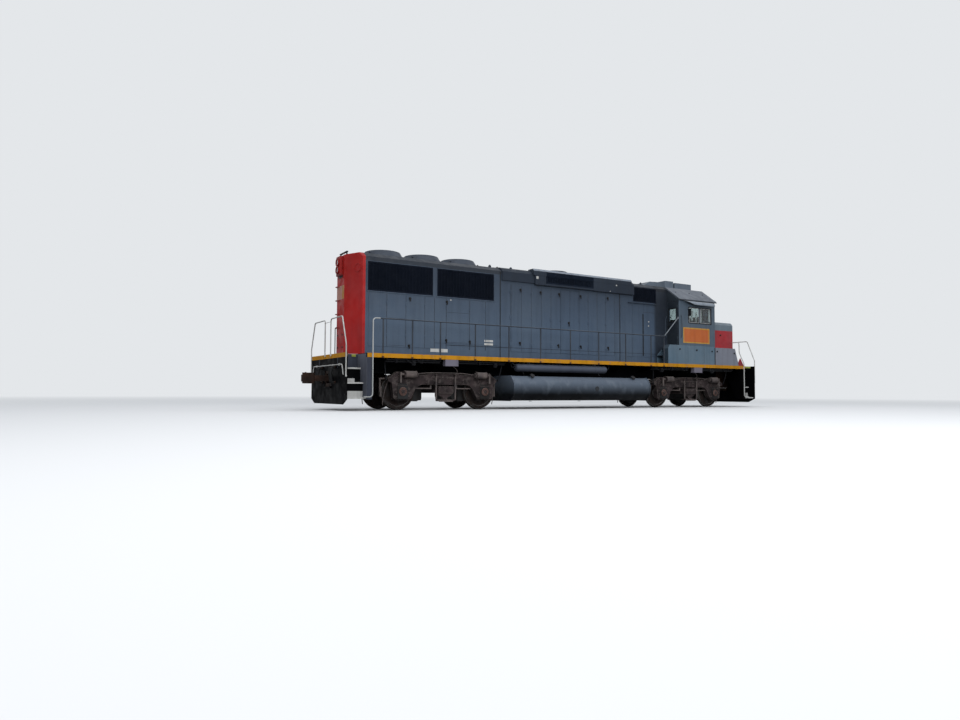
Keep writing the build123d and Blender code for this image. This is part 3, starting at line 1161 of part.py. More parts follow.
def make_nose():
    """The nose as one closed hood."""
    high = NOSE_TOP_Z - NOSE_CUT
    nose = profile_yz([(-HOOD_HALF_W, DECK_Z), (-HOOD_HALF_W, high), (-HOOD_HALF_W + NOSE_CUT, NOSE_TOP_Z),
                       (HOOD_HALF_W - NOSE_CUT, NOSE_TOP_Z), (HOOD_HALF_W, high), (HOOD_HALF_W, DECK_Z)],
                      CAB_FRONT_X, NOSE_FRONT_X)
    nose &= profile_xy(tapered_plan(NOSE_FRONT_X, 1, CAB_FRONT_X - 10, NOSE_TAPER, HOOD_HALF_W, NOSE_FLAT_HALF_W),
                       DECK_Z - 10, NOSE_TOP_Z + 10)
    front_top = [edge for edge in nose.edges() if edge.center().Z > NOSE_TOP_Z - 1
                 and edge.bounding_box().min.X > NOSE_FRONT_X - 1]
    return chamfer(front_top, NOSE_FRONT_CUT)


write("nose", make_nose())

# Cab fittings
# Two seats, a control stand beside the right-hand one, sunshades over the side windows, two boxes
# on the cab's roof and a sloping hatch on the hood's roof behind it.
SEAT_X = CAB_REAR_X + 970
SEAT_Y = CAB_HALF_W - 500
SEAT_Z = CAB_FLOOR_Z + 440
SEAT_HALF_W = 240
SEAT_PAD = 110
SEAT_BACK_H = 600
STAND_X = (CAB_REAR_X + 1320, CAB_REAR_X + 1670)
STAND_Y = (-800, -450)
STAND_H = 950
DESK = (150, 20, 130)               # reach towards the driver, overhang at the sides, thickness
SHADE_OUT = 170                     # of the sunshade's low edge from the wall
SHADE_SHEET = 12
SHADE_START = 240                   # of the sunshade from the cab's rear
SHADE_SLOPE = 450                   # length of its slanting rear end
ROOF_BOXES = (                      # start and end from the cab's rear, low y, high y, top above the ridge
    (530, 980, -400, 150, 320),
    (1050, 1960, -400, 250, 280),
)
HATCH = (                           # x from the cab's rear and z above the hood's top
    (-880, 0), (-580, 170), (-30, 190), (-30, 0),
)
HATCH_HALF_W = 700


def make_seat(side):
    """A seat on a pedestal with its back to the rear wall."""
    y = side * SEAT_Y
    seat = drum(SEAT_X, y, CAB_FLOOR_Z, 300, 40) + drum(SEAT_X, y, CAB_FLOOR_Z, SEAT_PAD, SEAT_Z - CAB_FLOOR_Z + 10)
    seat += block(SEAT_X - SEAT_HALF_W, SEAT_X + SEAT_HALF_W, y - SEAT_HALF_W, y + SEAT_HALF_W,
                  SEAT_Z, SEAT_Z + SEAT_PAD)
    back = [(-SEAT_HALF_W - 10, 60), (-150, 60), (-250, SEAT_PAD + SEAT_BACK_H), (-330, SEAT_PAD + SEAT_BACK_H)]
    return seat + profile_xz([(SEAT_X + x, SEAT_Z + z) for x, z in back], y - SEAT_HALF_W + 10, y + SEAT_HALF_W - 10)


def make_control_stand():
    """A pedestal with a desk that reaches towards the driver."""
    reach, over, thick = DESK
    top = CAB_FLOOR_Z + STAND_H
    return block(*STAND_X, *STAND_Y, CAB_FLOOR_Z, top) + block(
        STAND_X[0] - reach, STAND_X[1], STAND_Y[0] - over, STAND_Y[1] + over, top, top + thick)


def make_sunshade():
    """A curved sunshade of sheet metal over the right-hand side window."""
    wall, top, low = -CAB_HALF_W, CAB_EAVES_Z - 60, SIDE_WINDOW_Z[1] + 90
    mid = (top + low) / 2 + 45
    y_low = wall - SHADE_OUT
    edges = [Line((0, wall, top), (0, wall - 40, top)),
             ThreePointArc((0, wall - 40, top), (0, wall - 130, mid), (0, y_low, low)),
             Line((0, y_low, low), (0, y_low + SHADE_SHEET, low)),
             ThreePointArc((0, y_low + SHADE_SHEET, low), (0, wall - 119, mid - 8),
                           (0, wall - 36, top - SHADE_SHEET)),
             Line((0, wall - 36, top - SHADE_SHEET), (0, wall, top - SHADE_SHEET)),
             Line((0, wall, top - SHADE_SHEET), (0, wall, top))]
    x0, x1 = CAB_REAR_X + SHADE_START, side_window_x[1] + 40
    shade = Pos(x0, 0, 0) * extrude(make_face(edges), amount=x1 - x0, dir=(1, 0, 0))
    return shade - profile_xz([(x0 - 1, top - SHADE_SHEET), (x0 - 1, low - 1), (x0 + SHADE_SLOPE, low - 1)],
                              y_low - 10, wall + 1)


def make_roof_boxes():
    """Two boxes cut to sit on the cab's roof, and the hatch on the hood behind it."""
    boxes = [block(CAB_REAR_X + x0, CAB_REAR_X + x1, y0, y1, CAB_TOP_Z - ROOF_CREASE - 5, CAB_TOP_Z + top)
             for x0, x1, y0, y1, top in ROOF_BOXES]
    boxes = [fillet(box.edges().filter_by(Axis.Z), 40) for box in boxes]
    hatch = profile_xz([(CAB_REAR_X + x, HOOD_TOP_Z + z) for x, z in HATCH], -HATCH_HALF_W, HATCH_HALF_W)
    return [box - cab_roof for box in boxes] + [hatch]


write("cab_seats", make_seat(-1), make_seat(1))
write("control_stand", make_control_stand())
write("sunshades", mirrored(make_sunshade()))
write("roof_boxes", make_roof_boxes())

# Handrails
# Flat stanchions on the side sills carry a round rail. Bent rails stand at the corners, across
# both platforms and beside the nose.
RAIL_D = 34
RAIL_Z = DECK_Z + 960
RAIL_BEND = 90
RAIL_SEAT = 2               # between a rail and the side sill's face
STANCHION = 40
STANCHION_PLATE = 12
REAR_POSTS = (390, 890, 3)  # first from the taper, pitch, and count
LONG_POSTS = (3340, 1400, 7)        # first from the taper, last from the cab, and count
LAST_POST = 760             # from the cab
DROP_INSET = 150            # of a corner rail's drop before the step well
DROP_Z = STEPS[0][0] + 45
DROP_FOOT = 260             # length of a drop's foot along the lowest step
GRAB_INSET = 40             # of the rail beside the nose, behind the nose's corner
GRAB = (                    # inset from the sill's face and height above the deck of its bends
    (240, 520), (250, 940),
)
END_RAIL = (                # inset from the sill's face and height of an end rail's bends
    (20, DECK_Z - 660),
    (20, DECK_Z + 220),
    (350, DECK_Z + 1000),
    (1300, DECK_Z + 1000),
    (1300, DECK_Z - 60),
)
CLIP_H = 60
CHAIN_D = 14
CHAIN_Z = RAIL_Z - 40

rail_y = DECK_HALF_W + RAIL_D / 2 + RAIL_SEAT
drop_x = step_well_x - DROP_INSET
post_x = [HOOD_CORNER_X + REAR_POSTS[0] + i * REAR_POSTS[1] for i in range(REAR_POSTS[2])]
post_x += evenly(HOOD_CORNER_X + LONG_POSTS[0], CAB_REAR_X - LONG_POSTS[1], LONG_POSTS[2])
post_x.append(CAB_REAR_X - LAST_POST)


def make_rail_clip(x, z):
    """A small plate that holds an upright rail to the right-hand side sill."""
    half = RAIL_D / 2 + 3
    return block(x - half, x + half, -rail_y, -DECK_HALF_W, z, z + CLIP_H)


def make_side_rail():
    """The right-hand long rail, from the foot of the rear steps up to the cab's rear wall."""
    wall_y = -CAB_HALF_W + 26
    wall_z = CAB_DOOR_Z[0] + 968
    rail = bent_bar([(-drop_x - DROP_FOOT, -rail_y, DROP_Z), (-drop_x, -rail_y, DROP_Z), (-drop_x, -rail_y, RAIL_Z),
                     (post_x[-1], -rail_y, RAIL_Z), (CAB_REAR_X - 12, wall_y, wall_z)], RAIL_D, RAIL_BEND)
    rail += block(CAB_REAR_X - 12, CAB_REAR_X, wall_y - 24, wall_y + 24, wall_z - 40, wall_z + 40)
    rail += make_rail_clip(-drop_x, SILL_Z + 20)
    for x in post_x:
        rail += block(x - STANCHION / 2, x + STANCHION / 2, -DECK_HALF_W - STANCHION_PLATE, -DECK_HALF_W,
                      SILL_Z + 20, RAIL_Z)
    return rail


def make_nose_grab():
    """The right-hand rail from the foot of the front steps, bent in to the nose."""
    x_low, x_high = drop_x + 70, CAB_FRONT_X + NOSE_LENGTH - GRAB_INSET
    bends = [(x_high, -DECK_HALF_W + inset, DECK_Z + height) for inset, height in GRAB]
    grab = bent_bar([(x_low + DROP_FOOT, -rail_y, DROP_Z), (x_low, -rail_y, DROP_Z), (x_low, -rail_y, DECK_Z + 80)]
                    + bends + [(x_high, -HOOD_HALF_W, bends[-1][2])], RAIL_D, RAIL_BEND)
    return grab + make_rail_clip(x_low, SILL_Z + 20)


def make_end_rail(side):
    """A rail at one side of the cab end's platform, from the corner to the passage."""
    x = END_SILL_X + RAIL_D / 2 + RAIL_SEAT
    corners = [(x, side * (DECK_HALF_W - inset), z) for inset, z in END_RAIL]
    rail = bent_bar(corners, RAIL_D, RAIL_BEND)
    for inset, z in ((END_RAIL[0][0], END_RAIL[0][1]), (END_RAIL[0][0], DECK_Z - 100), END_RAIL[-1]):
        y = side * (DECK_HALF_W - inset)
        rail += block(END_SILL_X, x, y - 20, y + 20, z, z + 50)
    return rail


passage_y = DECK_HALF_W - END_RAIL[-1][0]
end_rails = make_end_rail(-1) + make_end_rail(1)
end_rails += rod((END_SILL_X + RAIL_D / 2 + RAIL_SEAT, -passage_y, CHAIN_Z),
                 (END_SILL_X + RAIL_D / 2 + RAIL_SEAT, passage_y, CHAIN_Z), CHAIN_D)
write("side_rails", mirrored(make_side_rail()))
write("end_rails", end_rails, turned(end_rails), mirrored(make_nose_grab()))

# Lamps
# Twin headlamps in a housing high on the cab's front and on the rear hood end, blank number
# boards beside the front ones, and a pair of low lamps on the front platform.
LAMP_D = 190
LAMP_RIM = 15
LAMP_PITCH = 225
LAMP_PLATE_HALF_W = 150
CAB_LAMP_Z = (CAB_EAVES_Z + 40, CAB_EAVES_Z + 470)
REAR_LAMP_Z = (HOOD_EAVES_Z - 480, HOOD_EAVES_Z + 85)
NUMBER_BOARD = (110, 230, 780, 100, 350)    # depth, inner y, outer y, and heights above the cab's eaves
LOW_LAMP_Y = 520
LOW_LAMP_X = END_SILL_X - 180
LOW_LAMP_LENGTH = 140


def make_headlamp(x_face, out, heights, depth):
    """A housing with two round lamp rims, one above the other."""
    z = sum(heights) / 2
    plate = span(x_face, x_face + out * depth, -LAMP_PLATE_HALF_W, LAMP_PLATE_HALF_W, *heights)
    for dz in (-LAMP_PITCH / 2, LAMP_PITCH / 2):
        plate += rod((x_face + out * (depth - 10), 0, z + dz), (x_face + out * (depth + 40), 0, z + dz),
                     LAMP_D + 2 * LAMP_RIM)
        plate -= rod((x_face + out * (depth + 10), 0, z + dz), (x_face + out * (depth + 50), 0, z + dz), LAMP_D)
    return plate


def make_low_lamp(y):
    """A round lamp on a foot on the front platform."""
    z = DECK_Z + 140
    lamp = rod((LOW_LAMP_X, y, z), (LOW_LAMP_X + LOW_LAMP_LENGTH, y, z), LAMP_D)
    lamp -= rod((LOW_LAMP_X + LOW_LAMP_LENGTH - 25, y, z), (LOW_LAMP_X + LOW_LAMP_LENGTH + 10, y, z),
                LAMP_D - 2 * LAMP_RIM)
    return lamp + block(LOW_LAMP_X + 40, LOW_LAMP_X + 100, y - 60, y + 60, DECK_Z, DECK_Z + 80)


board_depth, board_in, board_out, board_low, board_high = NUMBER_BOARD
number_board = block(CAB_FRONT_X, CAB_FRONT_X + board_depth, board_in, board_out, CAB_EAVES_Z + board_low,
                     CAB_EAVES_Z + board_high)
write("lamps", make_headlamp(CAB_FRONT_X, 1, CAB_LAMP_Z, 50), make_headlamp(HOOD_REAR_X, -1, REAR_LAMP_Z, 90),
      mirrored(number_board), make_low_lamp(LOW_LAMP_Y), make_low_lamp(-LOW_LAMP_Y))

# Hoses and uncoupling levers at the ends
# Air hoses run in short loops from their cocks to dummy brackets on the end sheet.
HOSE_D = 45
HOSE_BEND = 40
HOSE_Y = (480, 560, 640)
HOSE_LOOP = (               # reach from the end sheet and height of the loop's points
    (0, 1180), (100, 1180), (130, 1000), (100, 760), (0, 760),
)
LEVER_D = 30
LEVER_BEND = 60
LEVER_OUT = 30              # of the rod from the end sheet
LEVER_Z = (960, 1240)
LEVER_INSET = (200, 300)    # of the rod's ends and bends from the sill's face
LEVER_BRACKET_INSET = 550


def make_hose(y):
    """An air hose between its cock and its bracket on the cab end's sheet."""
    return bent_bar([(END_SILL_X + reach, y, z) for reach, z in HOSE_LOOP], HOSE_D, HOSE_BEND)


def make_lever():
    """The uncoupling rod across an end sheet, with a handle at each side."""
    x = END_SILL_X + LEVER_OUT
    end, bend = DECK_HALF_W - LEVER_INSET[0], DECK_HALF_W - LEVER_INSET[1]
    low, high = LEVER_Z
    lever = bent_bar([(x, -end, low), (x, -bend, high), (x, bend, high), (x, end, low)], LEVER_D, LEVER_BEND)
    for y in (-DECK_HALF_W + LEVER_BRACKET_INSET, DECK_HALF_W - LEVER_BRACKET_INSET):
        lever += block(END_SILL_X, x + 5, y - 25, y + 25, high - 35, high + 35)
    return lever


hoses = [piece for y in HOSE_Y for piece in mirrored(make_hose(-y))]
write("hoses", hoses, [turned(hose) for hose in hoses])
write("uncoupling_levers", make_lever(), turned(make_lever()))
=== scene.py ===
from math import cos, pi, radians, sin

import bmesh
import bpy
from mathutils import Matrix, Vector


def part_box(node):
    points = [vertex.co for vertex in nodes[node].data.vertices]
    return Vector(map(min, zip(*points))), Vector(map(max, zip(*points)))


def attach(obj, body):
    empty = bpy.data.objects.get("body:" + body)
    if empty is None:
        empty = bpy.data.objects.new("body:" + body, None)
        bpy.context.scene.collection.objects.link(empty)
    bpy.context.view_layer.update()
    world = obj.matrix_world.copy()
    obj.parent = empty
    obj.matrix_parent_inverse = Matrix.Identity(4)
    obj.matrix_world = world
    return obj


# A four-axle diesel road locomotive, finished as it stands after years of work: dull blue-grey enamel,
# a red rear hood end, a yellow line along the sills, and brown grime on the trucks.
# Everything is in metres, +X towards the cab end, +Y left, +Z up, with the wheel flanges at Z = 0.
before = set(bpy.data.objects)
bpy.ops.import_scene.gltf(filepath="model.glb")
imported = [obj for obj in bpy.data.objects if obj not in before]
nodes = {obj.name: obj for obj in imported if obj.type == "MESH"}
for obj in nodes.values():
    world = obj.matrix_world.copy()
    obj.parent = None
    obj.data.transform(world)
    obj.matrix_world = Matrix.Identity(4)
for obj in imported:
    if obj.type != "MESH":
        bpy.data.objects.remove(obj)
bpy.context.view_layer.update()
bpy.context.scene.view_settings.view_transform = "Standard"

# Underframe
# The welded steel frame that everything stands on. Its sills and deck are sprayed with chassis enamel,
# and a yellow line runs along the outer face of each side sill, browned below every handrail post.
DECK_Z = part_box("nose")[0].z
SILL_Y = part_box("underframe")[1].y
SILL_LOW_Z = DECK_Z - 0.120
TRUCK_X = (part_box("truck_frame_front")[0].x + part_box("truck_frame_front")[1].x) / 2
PAD_HALF = 0.216                    # half length of a jacking pad
STEP_WALL_X = 7.800                 # the wells of the corner steps end here
POST_X = (-7.35, -6.46, -5.57, -4.40, -3.203, -2.007, -0.81, 0.387, 1.583, 2.78, 3.42)


def linear(code):
    """An sRGB hex colour as the linear colour that the shaders take."""
    channels = [int(code[i:i + 2], 16) / 255 for i in (0, 2, 4)]
    return [c / 12.92 if c <= 0.04045 else ((c + 0.055) / 1.055) ** 2.4 for c in channels] + [1.0]


class Surface:
    """The finish of a piece in the making: its shader, and where on the object each point of it lies."""

    def __init__(self, name, owner=None):
        self.owner = owner or bpy.data.materials.new(name)
        self.owner.use_nodes = True
        self.nodes = self.owner.node_tree.nodes
        self.place = self.add("TexCoord", output="Object")
        self.x, self.y, self.z = (self.add("SeparateXYZ", self.place, output=axis) for axis in "XYZ")
        self.far = self.add("Math", self.x, operation="ABSOLUTE")       # from the middle, fore or aft
        self.wide = self.add("Math", self.y, operation="ABSOLUTE")      # from the centreline, to either side

    def give(self, socket, value):
        """Gives an input a link, a hex colour or a number."""
        if isinstance(value, bpy.types.NodeSocket):
            self.owner.node_tree.links.new(value, socket)
        else:
            socket.default_value = linear(value) if isinstance(value, str) else value

    def add(self, kind, *values, output=None, inputs=None, **settings):
        """Adds a node with its settings, fills its open inputs in order or by name, and picks an output."""
        node = self.nodes.new("ShaderNode" + kind)
        for name, value in settings.items():
            setattr(node, name, value)
        for socket, value in zip([socket for socket in node.inputs if socket.enabled], values):
            self.give(socket, value)
        for name, value in (inputs or {}).items():
            self.give(node.inputs[name], value)
        return node.outputs[output] if output else [socket for socket in node.outputs if socket.enabled][0]

    def shade(self, inputs):
        """Sets the shader's own inputs and hands over the finished material."""
        for name, value in inputs.items():
            self.give(self.nodes["Principled BSDF"].inputs[name], value)
        return self.owner

    def zone(self, most=1.0, **limits):
        """A share that is full between two limits along each axis named, and 0 outside. None is no limit."""
        for axis, pair in limits.items():
            for limit, test in zip(pair, ("GREATER_THAN", "LESS_THAN")):
                if limit is not None:
                    inside = self.add("Math", getattr(self, axis), limit, operation=test)
                    most = self.add("Math", inside, most, operation="MULTIPLY")
        return most

    def patches(self, size, low, high, most, stretch=(1, 1, 1)):
        """Cloudy patches of a real size in metres: nothing below the level low, and most above high."""
        scaled = self.add("Mapping", self.place, inputs={"Scale": [s / size for s in stretch]})
        return self.add("MapRange", self.add("TexNoise", scaled, 1.0, 5.0), low, high, 0.0, most)

    def facing(self, axis, most, way=1):
        """A share that is full on faces that look along an axis: up, where dust lies, or to the rear, where
        shade or light is painted.
        """
        look = self.add("SeparateXYZ", self.add("NewGeometry", output="Normal"), output=axis)
        return self.add("MapRange", self.add("Math", look, way, operation="MULTIPLY"), 0.35, 0.95, 0.0, most)

    def edges(self, radius, most):
        """A normal that rounds the sharp edges, and a share that is full along them."""
        rounded = self.add("Bevel", radius, samples=4)
        agree = self.add("VectorMath", rounded, self.add("NewGeometry", output="Normal"),
                         operation="DOT_PRODUCT")
        return rounded, self.add("MapRange", agree, 0.995, 0.90, 0.0, most)

    def coats(self, colour, *layers):
        """Colours laid over a first one, each by its own share."""
        for share, over in layers:
            colour = self.add("Mix", share, colour, over, data_type="RGBA")
        return colour

    def weather(self, colour, grime="23252a", dust="55524f", chalk="6d7680", bare="4a3a30", chalky=0.20,
                streaks=0.30, dusty=0.35, gloss=0.42, dents=0.010, chips=0.35, sheen=0.22):
        """Years outdoors over a paint: chalked patches, washed-down streaks, chipped edges and dust on top."""
        rounded, edge = self.edges(0.007, chips)
        colour = self.coats(colour, (self.patches(1.3, 0.42, 0.74, chalky), chalk),
                            (self.patches(0.16, 0.46, 0.74, streaks, (1, 1, 0.07)), grime),
                            (self.patches(0.035, 0.60, 0.80, 0.30), grime),
                            (self.patches(0.06, 0.45, 0.60, edge), bare), (self.facing("Z", dusty), dust))
        waves = self.add("TexNoise", self.place, 2.2, 2.0)
        bump = self.add("Bump", inputs={"Strength": 0.6, "Distance": dents, "Height": waves,
                                        "Normal": rounded})
        rough = self.add("Math", self.patches(0.25, 0.35, 0.70, 0.30), gloss, operation="ADD")
        return self.shade({"Base Color": colour, "Specular IOR Level": sheen, "Roughness": rough,
                           "Normal": bump})


def plain_paint(name, code, **wear):
    """One colour of enamel with the wear that is given."""
    return Surface(name).weather(code, **wear)


def finish(material, *names):
    """Gives CAD nodes their finish."""
    for name in names:
        for slot in nodes[name].material_slots:
            slot.material = material


def worn_yellow(paint):
    """The yellow of the sill line: scuffed, and rust-brown at the foot of each post."""
    low = paint.add("MapRange", paint.z, SILL_LOW_Z + 0.065, SILL_LOW_Z + 0.030, 0.0, 0.75)
    marks = []
    for x in POST_X:
        near = paint.add("Math", paint.add("Math", paint.x, x, operation="SUBTRACT"), operation="ABSOLUTE")
        marks.append((paint.add("MapRange", near, 0.055, 0.020, 0.0, low), "3a2417"))
    return paint.coats("bd8420", (paint.patches(0.5, 0.52, 0.74, 0.7), "a8793f"),
                       (paint.patches(0.20, 0.62, 0.72, 0.6), "7a6a70"), *marks)


# Grimy near-black enamel, dull all over, with the yellow line on the sills, brown-red and pale edges to the
# step wells, and pale paint on the jacking pads.
chassis = Surface("chassis_enamel_with_sill_line")
well_edge = chassis.coats("b8863f", (chassis.zone(z=(DECK_Z - 0.060, None)), "4a1216"),
                          (chassis.zone(z=(DECK_Z - 0.014, None)), "b59a9c"))
chassis_colour = chassis.coats(
    "050608",
    (chassis.zone(wide=(SILL_Y - 0.004, None), z=(SILL_LOW_Z, None)), worn_yellow(chassis)),
    (chassis.zone(wide=(0.800, 0.818), far=(STEP_WALL_X - 0.005, None), z=(SILL_LOW_Z, None)), well_edge),
    (chassis.zone(wide=(SILL_Y - 0.17, None), far=(TRUCK_X - PAD_HALF, TRUCK_X + PAD_HALF),
                  z=(SILL_LOW_Z - 0.20, SILL_LOW_Z - 0.001)), "6f6c79"))
underframe_finish = chassis.weather(chassis_colour, grime="0d0c0c", chalky=0.03, streaks=0.25, dusty=0.45,
                                    dust="2f2e2e", sheen=0.02)
finish(underframe_finish, "underframe")

# Walkway plates
# Raised non-slip tread bars are rolled into the deck on both walkways and on the two platforms. They
# carry the same grime as the deck.
HOOD_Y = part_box("engine_hood")[1].y - 0.019          # outer face of the hood's doors
WALK_X = (-7.60, 3.55)
TREAD_BARS = 74


def about(middle, half):
    """Two limits at the same distance on both sides of a middle."""
    return middle - half, middle + half


def span(base, start, end):
    """Two limits given from a base."""
    return base + start, base + end


def place_piece(made, body):
    """Puts a piece in the scene, on the body that carries it."""
    bpy.context.scene.collection.objects.link(made)
    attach(made, body)


class Part:
    """A mesh piece in the making, to which blocks, rods and frames are added until it is done."""

    def __init__(self, name, material, slot, bevel=0.0, body="carbody"):
        self.name, self.material, self.slot, self.bevel, self.body = name, material, slot, bevel, body
        self.bm = bmesh.new()

    def block(self, xs, ys, zs, turn=None):
        """A block between two x, two y and two z in any order, turned about its centre if a turn is given."""
        centre = Matrix.Translation([sum(pair) / 2 for pair in (xs, ys, zs)])
        size = Matrix.Diagonal([abs(pair[1] - pair[0]) for pair in (xs, ys, zs)] + [1])
        bmesh.ops.create_cube(self.bm, size=1, matrix=centre @ (turn or Matrix.Identity(4)) @ size)

    def rod(self, start, end, diameter, end_diameter=None, sides=14):
        """A round rod, or a cone, from one point to another."""
        start, end = Vector(start), Vector(end)
        turn = (end - start).to_track_quat("Z", "Y").to_matrix().to_4x4()
        bmesh.ops.create_cone(self.bm, cap_ends=True, segments=sides, radius1=diameter / 2,
                              radius2=(diameter if end_diameter is None else end_diameter) / 2,
                              depth=(end - start).length, matrix=Matrix.Translation((start + end) / 2) @ turn)

    def stud(self, point, axis, length, *sizes, sides=14):
        """A rod that stands out from a point along the x, y or z axis, which is 0, 1 or 2."""
        end = list(point)
        end[axis] += length
        self.rod(point, end, *sizes, sides=sides)

    def frame(self, across, heights, depth, width, axis=1, top=None):
        """Four bars round an opening, in a side wall for axis 1 or an end wall for axis 0."""
        (a0, a1), (z0, z1) = across, heights
        wide, low, high = (a0 - width, a1 + width), (z0 - width, z0), (z1, z1 + (top or width))
        for along, zs in ((wide, low), (wide, high), ((a0 - width, a0), heights), ((a1, a1 + width), heights)):
            self.block(*((along, depth) if axis == 1 else (depth, along)), zs)

    def mirror(self, *axes):
        """Repeats what has been built so far across the centreline, axis 1, or at the other end, axis 0."""
        for axis in axes:
            copy = bmesh.ops.duplicate(self.bm, geom=[*self.bm.verts, *self.bm.edges, *self.bm.faces])["geom"]
            verts = [part for part in copy if isinstance(part, bmesh.types.BMVert)]
            faces = [part for part in copy if isinstance(part, bmesh.types.BMFace)]
            bmesh.ops.scale(self.bm, vec=[-1 if here == axis else 1 for here in range(3)], verts=verts)
            bmesh.ops.reverse_faces(self.bm, faces=faces)

    def done(self, *axes):
        """Mirrors the mesh across the axes given, eases its edges by a bevel and puts it on its body."""
        self.mirror(*axes)
        mesh = bpy.data.meshes.new(self.name)
        self.bm.to_mesh(mesh)
        self.bm.free()
        mesh.materials.append(self.material)
        mesh.shade_smooth()
        mesh.set_sharp_from_angle(angle=radians(35))
        made = bpy.data.objects.new(self.name, mesh)
        if self.bevel:
            edges = made.modifiers.new("eased_edges", "BEVEL")
            edges.width = self.bevel
            edges.segments = 2
            edges.limit_method = "ANGLE"
        place_piece(made, self.body)


tread_bars = Part("walkway_tread_bars", underframe_finish, "underframe_paint")
for index in range(TREAD_BARS):
    x = WALK_X[0] + (WALK_X[1] - WALK_X[0]) * index / (TREAD_BARS - 1)
    for row in range(3):
        y = 1.12 + 0.14 * row + 0.07 * (index % 2)
        tread_bars.block(about(x, 0.022), about(y, 0.006), span(DECK_Z, -0.001, 0.004))
tread_bars.done(1)

# Air pipes under the sills
# Steel pipes for the air brake, clamped below the side sills, with sand pipes and cocks at the trucks.
# They show as thin pale lines in the dark below the yellow line.
PIPE_D = 0.034


def on_both_sides(runs):
    """The pipe runs of the left side and their mirror images on the right."""
    return runs + [[(x, -y, z) for x, y, z in run] for run in runs]


def tubes(name, runs, diameter, material, body="carbody"):
    """Bent pipes or rods as one piece: each run is a list of points that the pipe's line passes near."""
    curve = bpy.data.curves.new(name, "CURVE")
    curve.dimensions = "3D"
    curve.bevel_depth = diameter / 2
    curve.bevel_resolution = 3
    curve.resolution_u = 6
    curve.use_fill_caps = True
    for points in runs:
        spline = curve.splines.new("NURBS")
        spline.points.add(len(points) - 1)
        for target, point in zip(spline.points, points):
            target.co = (*point, 1)
        spline.order_u = 3
        spline.use_endpoint_u = True
    curve.materials.append(material)
    place_piece(bpy.data.objects.new(name, curve), body)


pipe_paint = plain_paint("pipe_enamel_grey", "17181c", grime="0b0b0c", chalky=0.08, dusty=0.3, dents=0.001,
                         sheen=0.10)
pipe_runs = []
for drop, inset in ((0.045, 0.10), (0.095, 0.16)):
    y = SILL_Y - inset
    for run in (((-7.2, y), (-6.9, y), (-5.5, y)), ((-4.9, y), (-3.4, y), (-3.2, y - 0.1)),
                ((3.0, y - 0.1), (3.2, y), (4.8, y)), ((5.5, y), (6.8, y), (7.2, y))):
        pipe_runs.append([(*point, SILL_LOW_Z - drop) for point in run])
for x, lean in ((-7.15, 0.10), (-3.25, -0.10), (3.22, 0.10), (7.12, -0.10)):
    y = SILL_Y - 0.34
    pipe_runs.append([(x, y, SILL_LOW_Z - 0.02), (x, y, 1.16), (x + lean, y - 0.1, 0.86)])
for x in (-6.62, -6.28, -3.05, 3.05, 4.36):
    y = SILL_Y - 0.06
    pipe_runs.append([(x, y, SILL_LOW_Z + 0.01), (x + 0.02, y, SILL_LOW_Z - 0.08),
                      (x + 0.16, y, SILL_LOW_Z - 0.12)])
tubes("sill_air_pipes", on_both_sides(pipe_runs), PIPE_D, pipe_paint)

CLAMP_Y = SILL_Y - 0.13
clamps = Part("pipe_clamps_and_cocks", pipe_paint, "underframe_paint", 0.003)
for x in (-6.9, -6.1, -4.2, 3.9, 4.6, 5.9, 6.7):
    clamps.block(about(x, 0.015), about(CLAMP_Y, 0.07), (SILL_LOW_Z - 0.13, SILL_LOW_Z))
for x in (-6.36, -3.62, 3.42, 6.05):
    clamps.block(about(x, 0.05), about(CLAMP_Y, 0.04), span(SILL_LOW_Z, -0.19, -0.06))
    clamps.rod((x, CLAMP_Y, SILL_LOW_Z - 0.125), (x, SILL_Y - 0.03, SILL_LOW_Z - 0.125), 0.05)
clamps.done(1)

# Stanchion sockets
# A pressed bracket holds each handrail post to the sill with two bolts; water has washed brown rust
# over it and down the yellow line.
rust_mark = plain_paint("rust_run_on_brackets", "4a2f1e", chalky=0.1, grime="2a1b14", dents=0.001)
sockets = Part("stanchion_sockets", rust_mark, "underframe_paint", 0.002)
outer = SILL_Y + 0.013
for x in POST_X:
    sockets.block(about(x, 0.024), (SILL_Y, outer), span(SILL_LOW_Z, -0.010, 0.040))
    for z in span(SILL_LOW_Z, 0.003, 0.028):
        sockets.stud((x, outer, z), 1, 0.012, 0.020, sides=6)
sockets.done(1)

# End sheets and steps
# Black steel sheets across both ends, the yellow line carried round their tops, with three steps let
# into each corner. The step edges and kick plates are painted white so that they show in the dark.
END_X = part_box("end_sheet_front")[1].x - 0.060      # outer face of the sheet
STEPS = (                           # top, outer edge, white plate's height and its short end
    (0.364, 1.480, 0.175, 0.00),
    (0.774, 1.270, 0.115, 0.16),
    (1.184, 1.060, 0.000, 0.00),
)
STEP_DEPTH = 0.250

# Black enamel on the sheets, blue-grey on the boxed plates by the rear steps with their rear-facing faces made
# paler as painted light, and the yellow line on top.
sheet = Surface("end_sheet_black_enamel")
# Faces that look to the rear are made paler: painted light.
slate_with_painted_light = sheet.coats("3c404b", (sheet.facing("X", 1.0, -1), "686c78"))
sheet_colour = sheet.coats(
    "030304",
    (sheet.zone(x=(None, 0.0), far=(None, STEP_WALL_X + 0.002)), slate_with_painted_light),
    (sheet.zone(x=(None, 0.0), wide=(0.790, 0.815), z=(STEPS[2][0] + 0.005, None)), slate_with_painted_light),
    (sheet.zone(far=(END_X - 0.004, None), z=(SILL_LOW_Z, None)), worn_yellow(sheet)))
finish(sheet.weather(sheet_colour, grime="0a0808", chalky=0.02, streaks=0.15, dusty=0.35, dust="3d3b39",
                     sheen=0.02), "end_sheet_front", "end_sheet_rear")
white_paint = plain_paint("safety_white_enamel", "b9bab9", chalk="a19c95", chalky=0.25, grime="57504a",
                          streaks=0.4, dusty=0.15, dents=0.001)
step_whites = Part("step_edges_and_kick_plates", white_paint, "rail_white", 0.003)
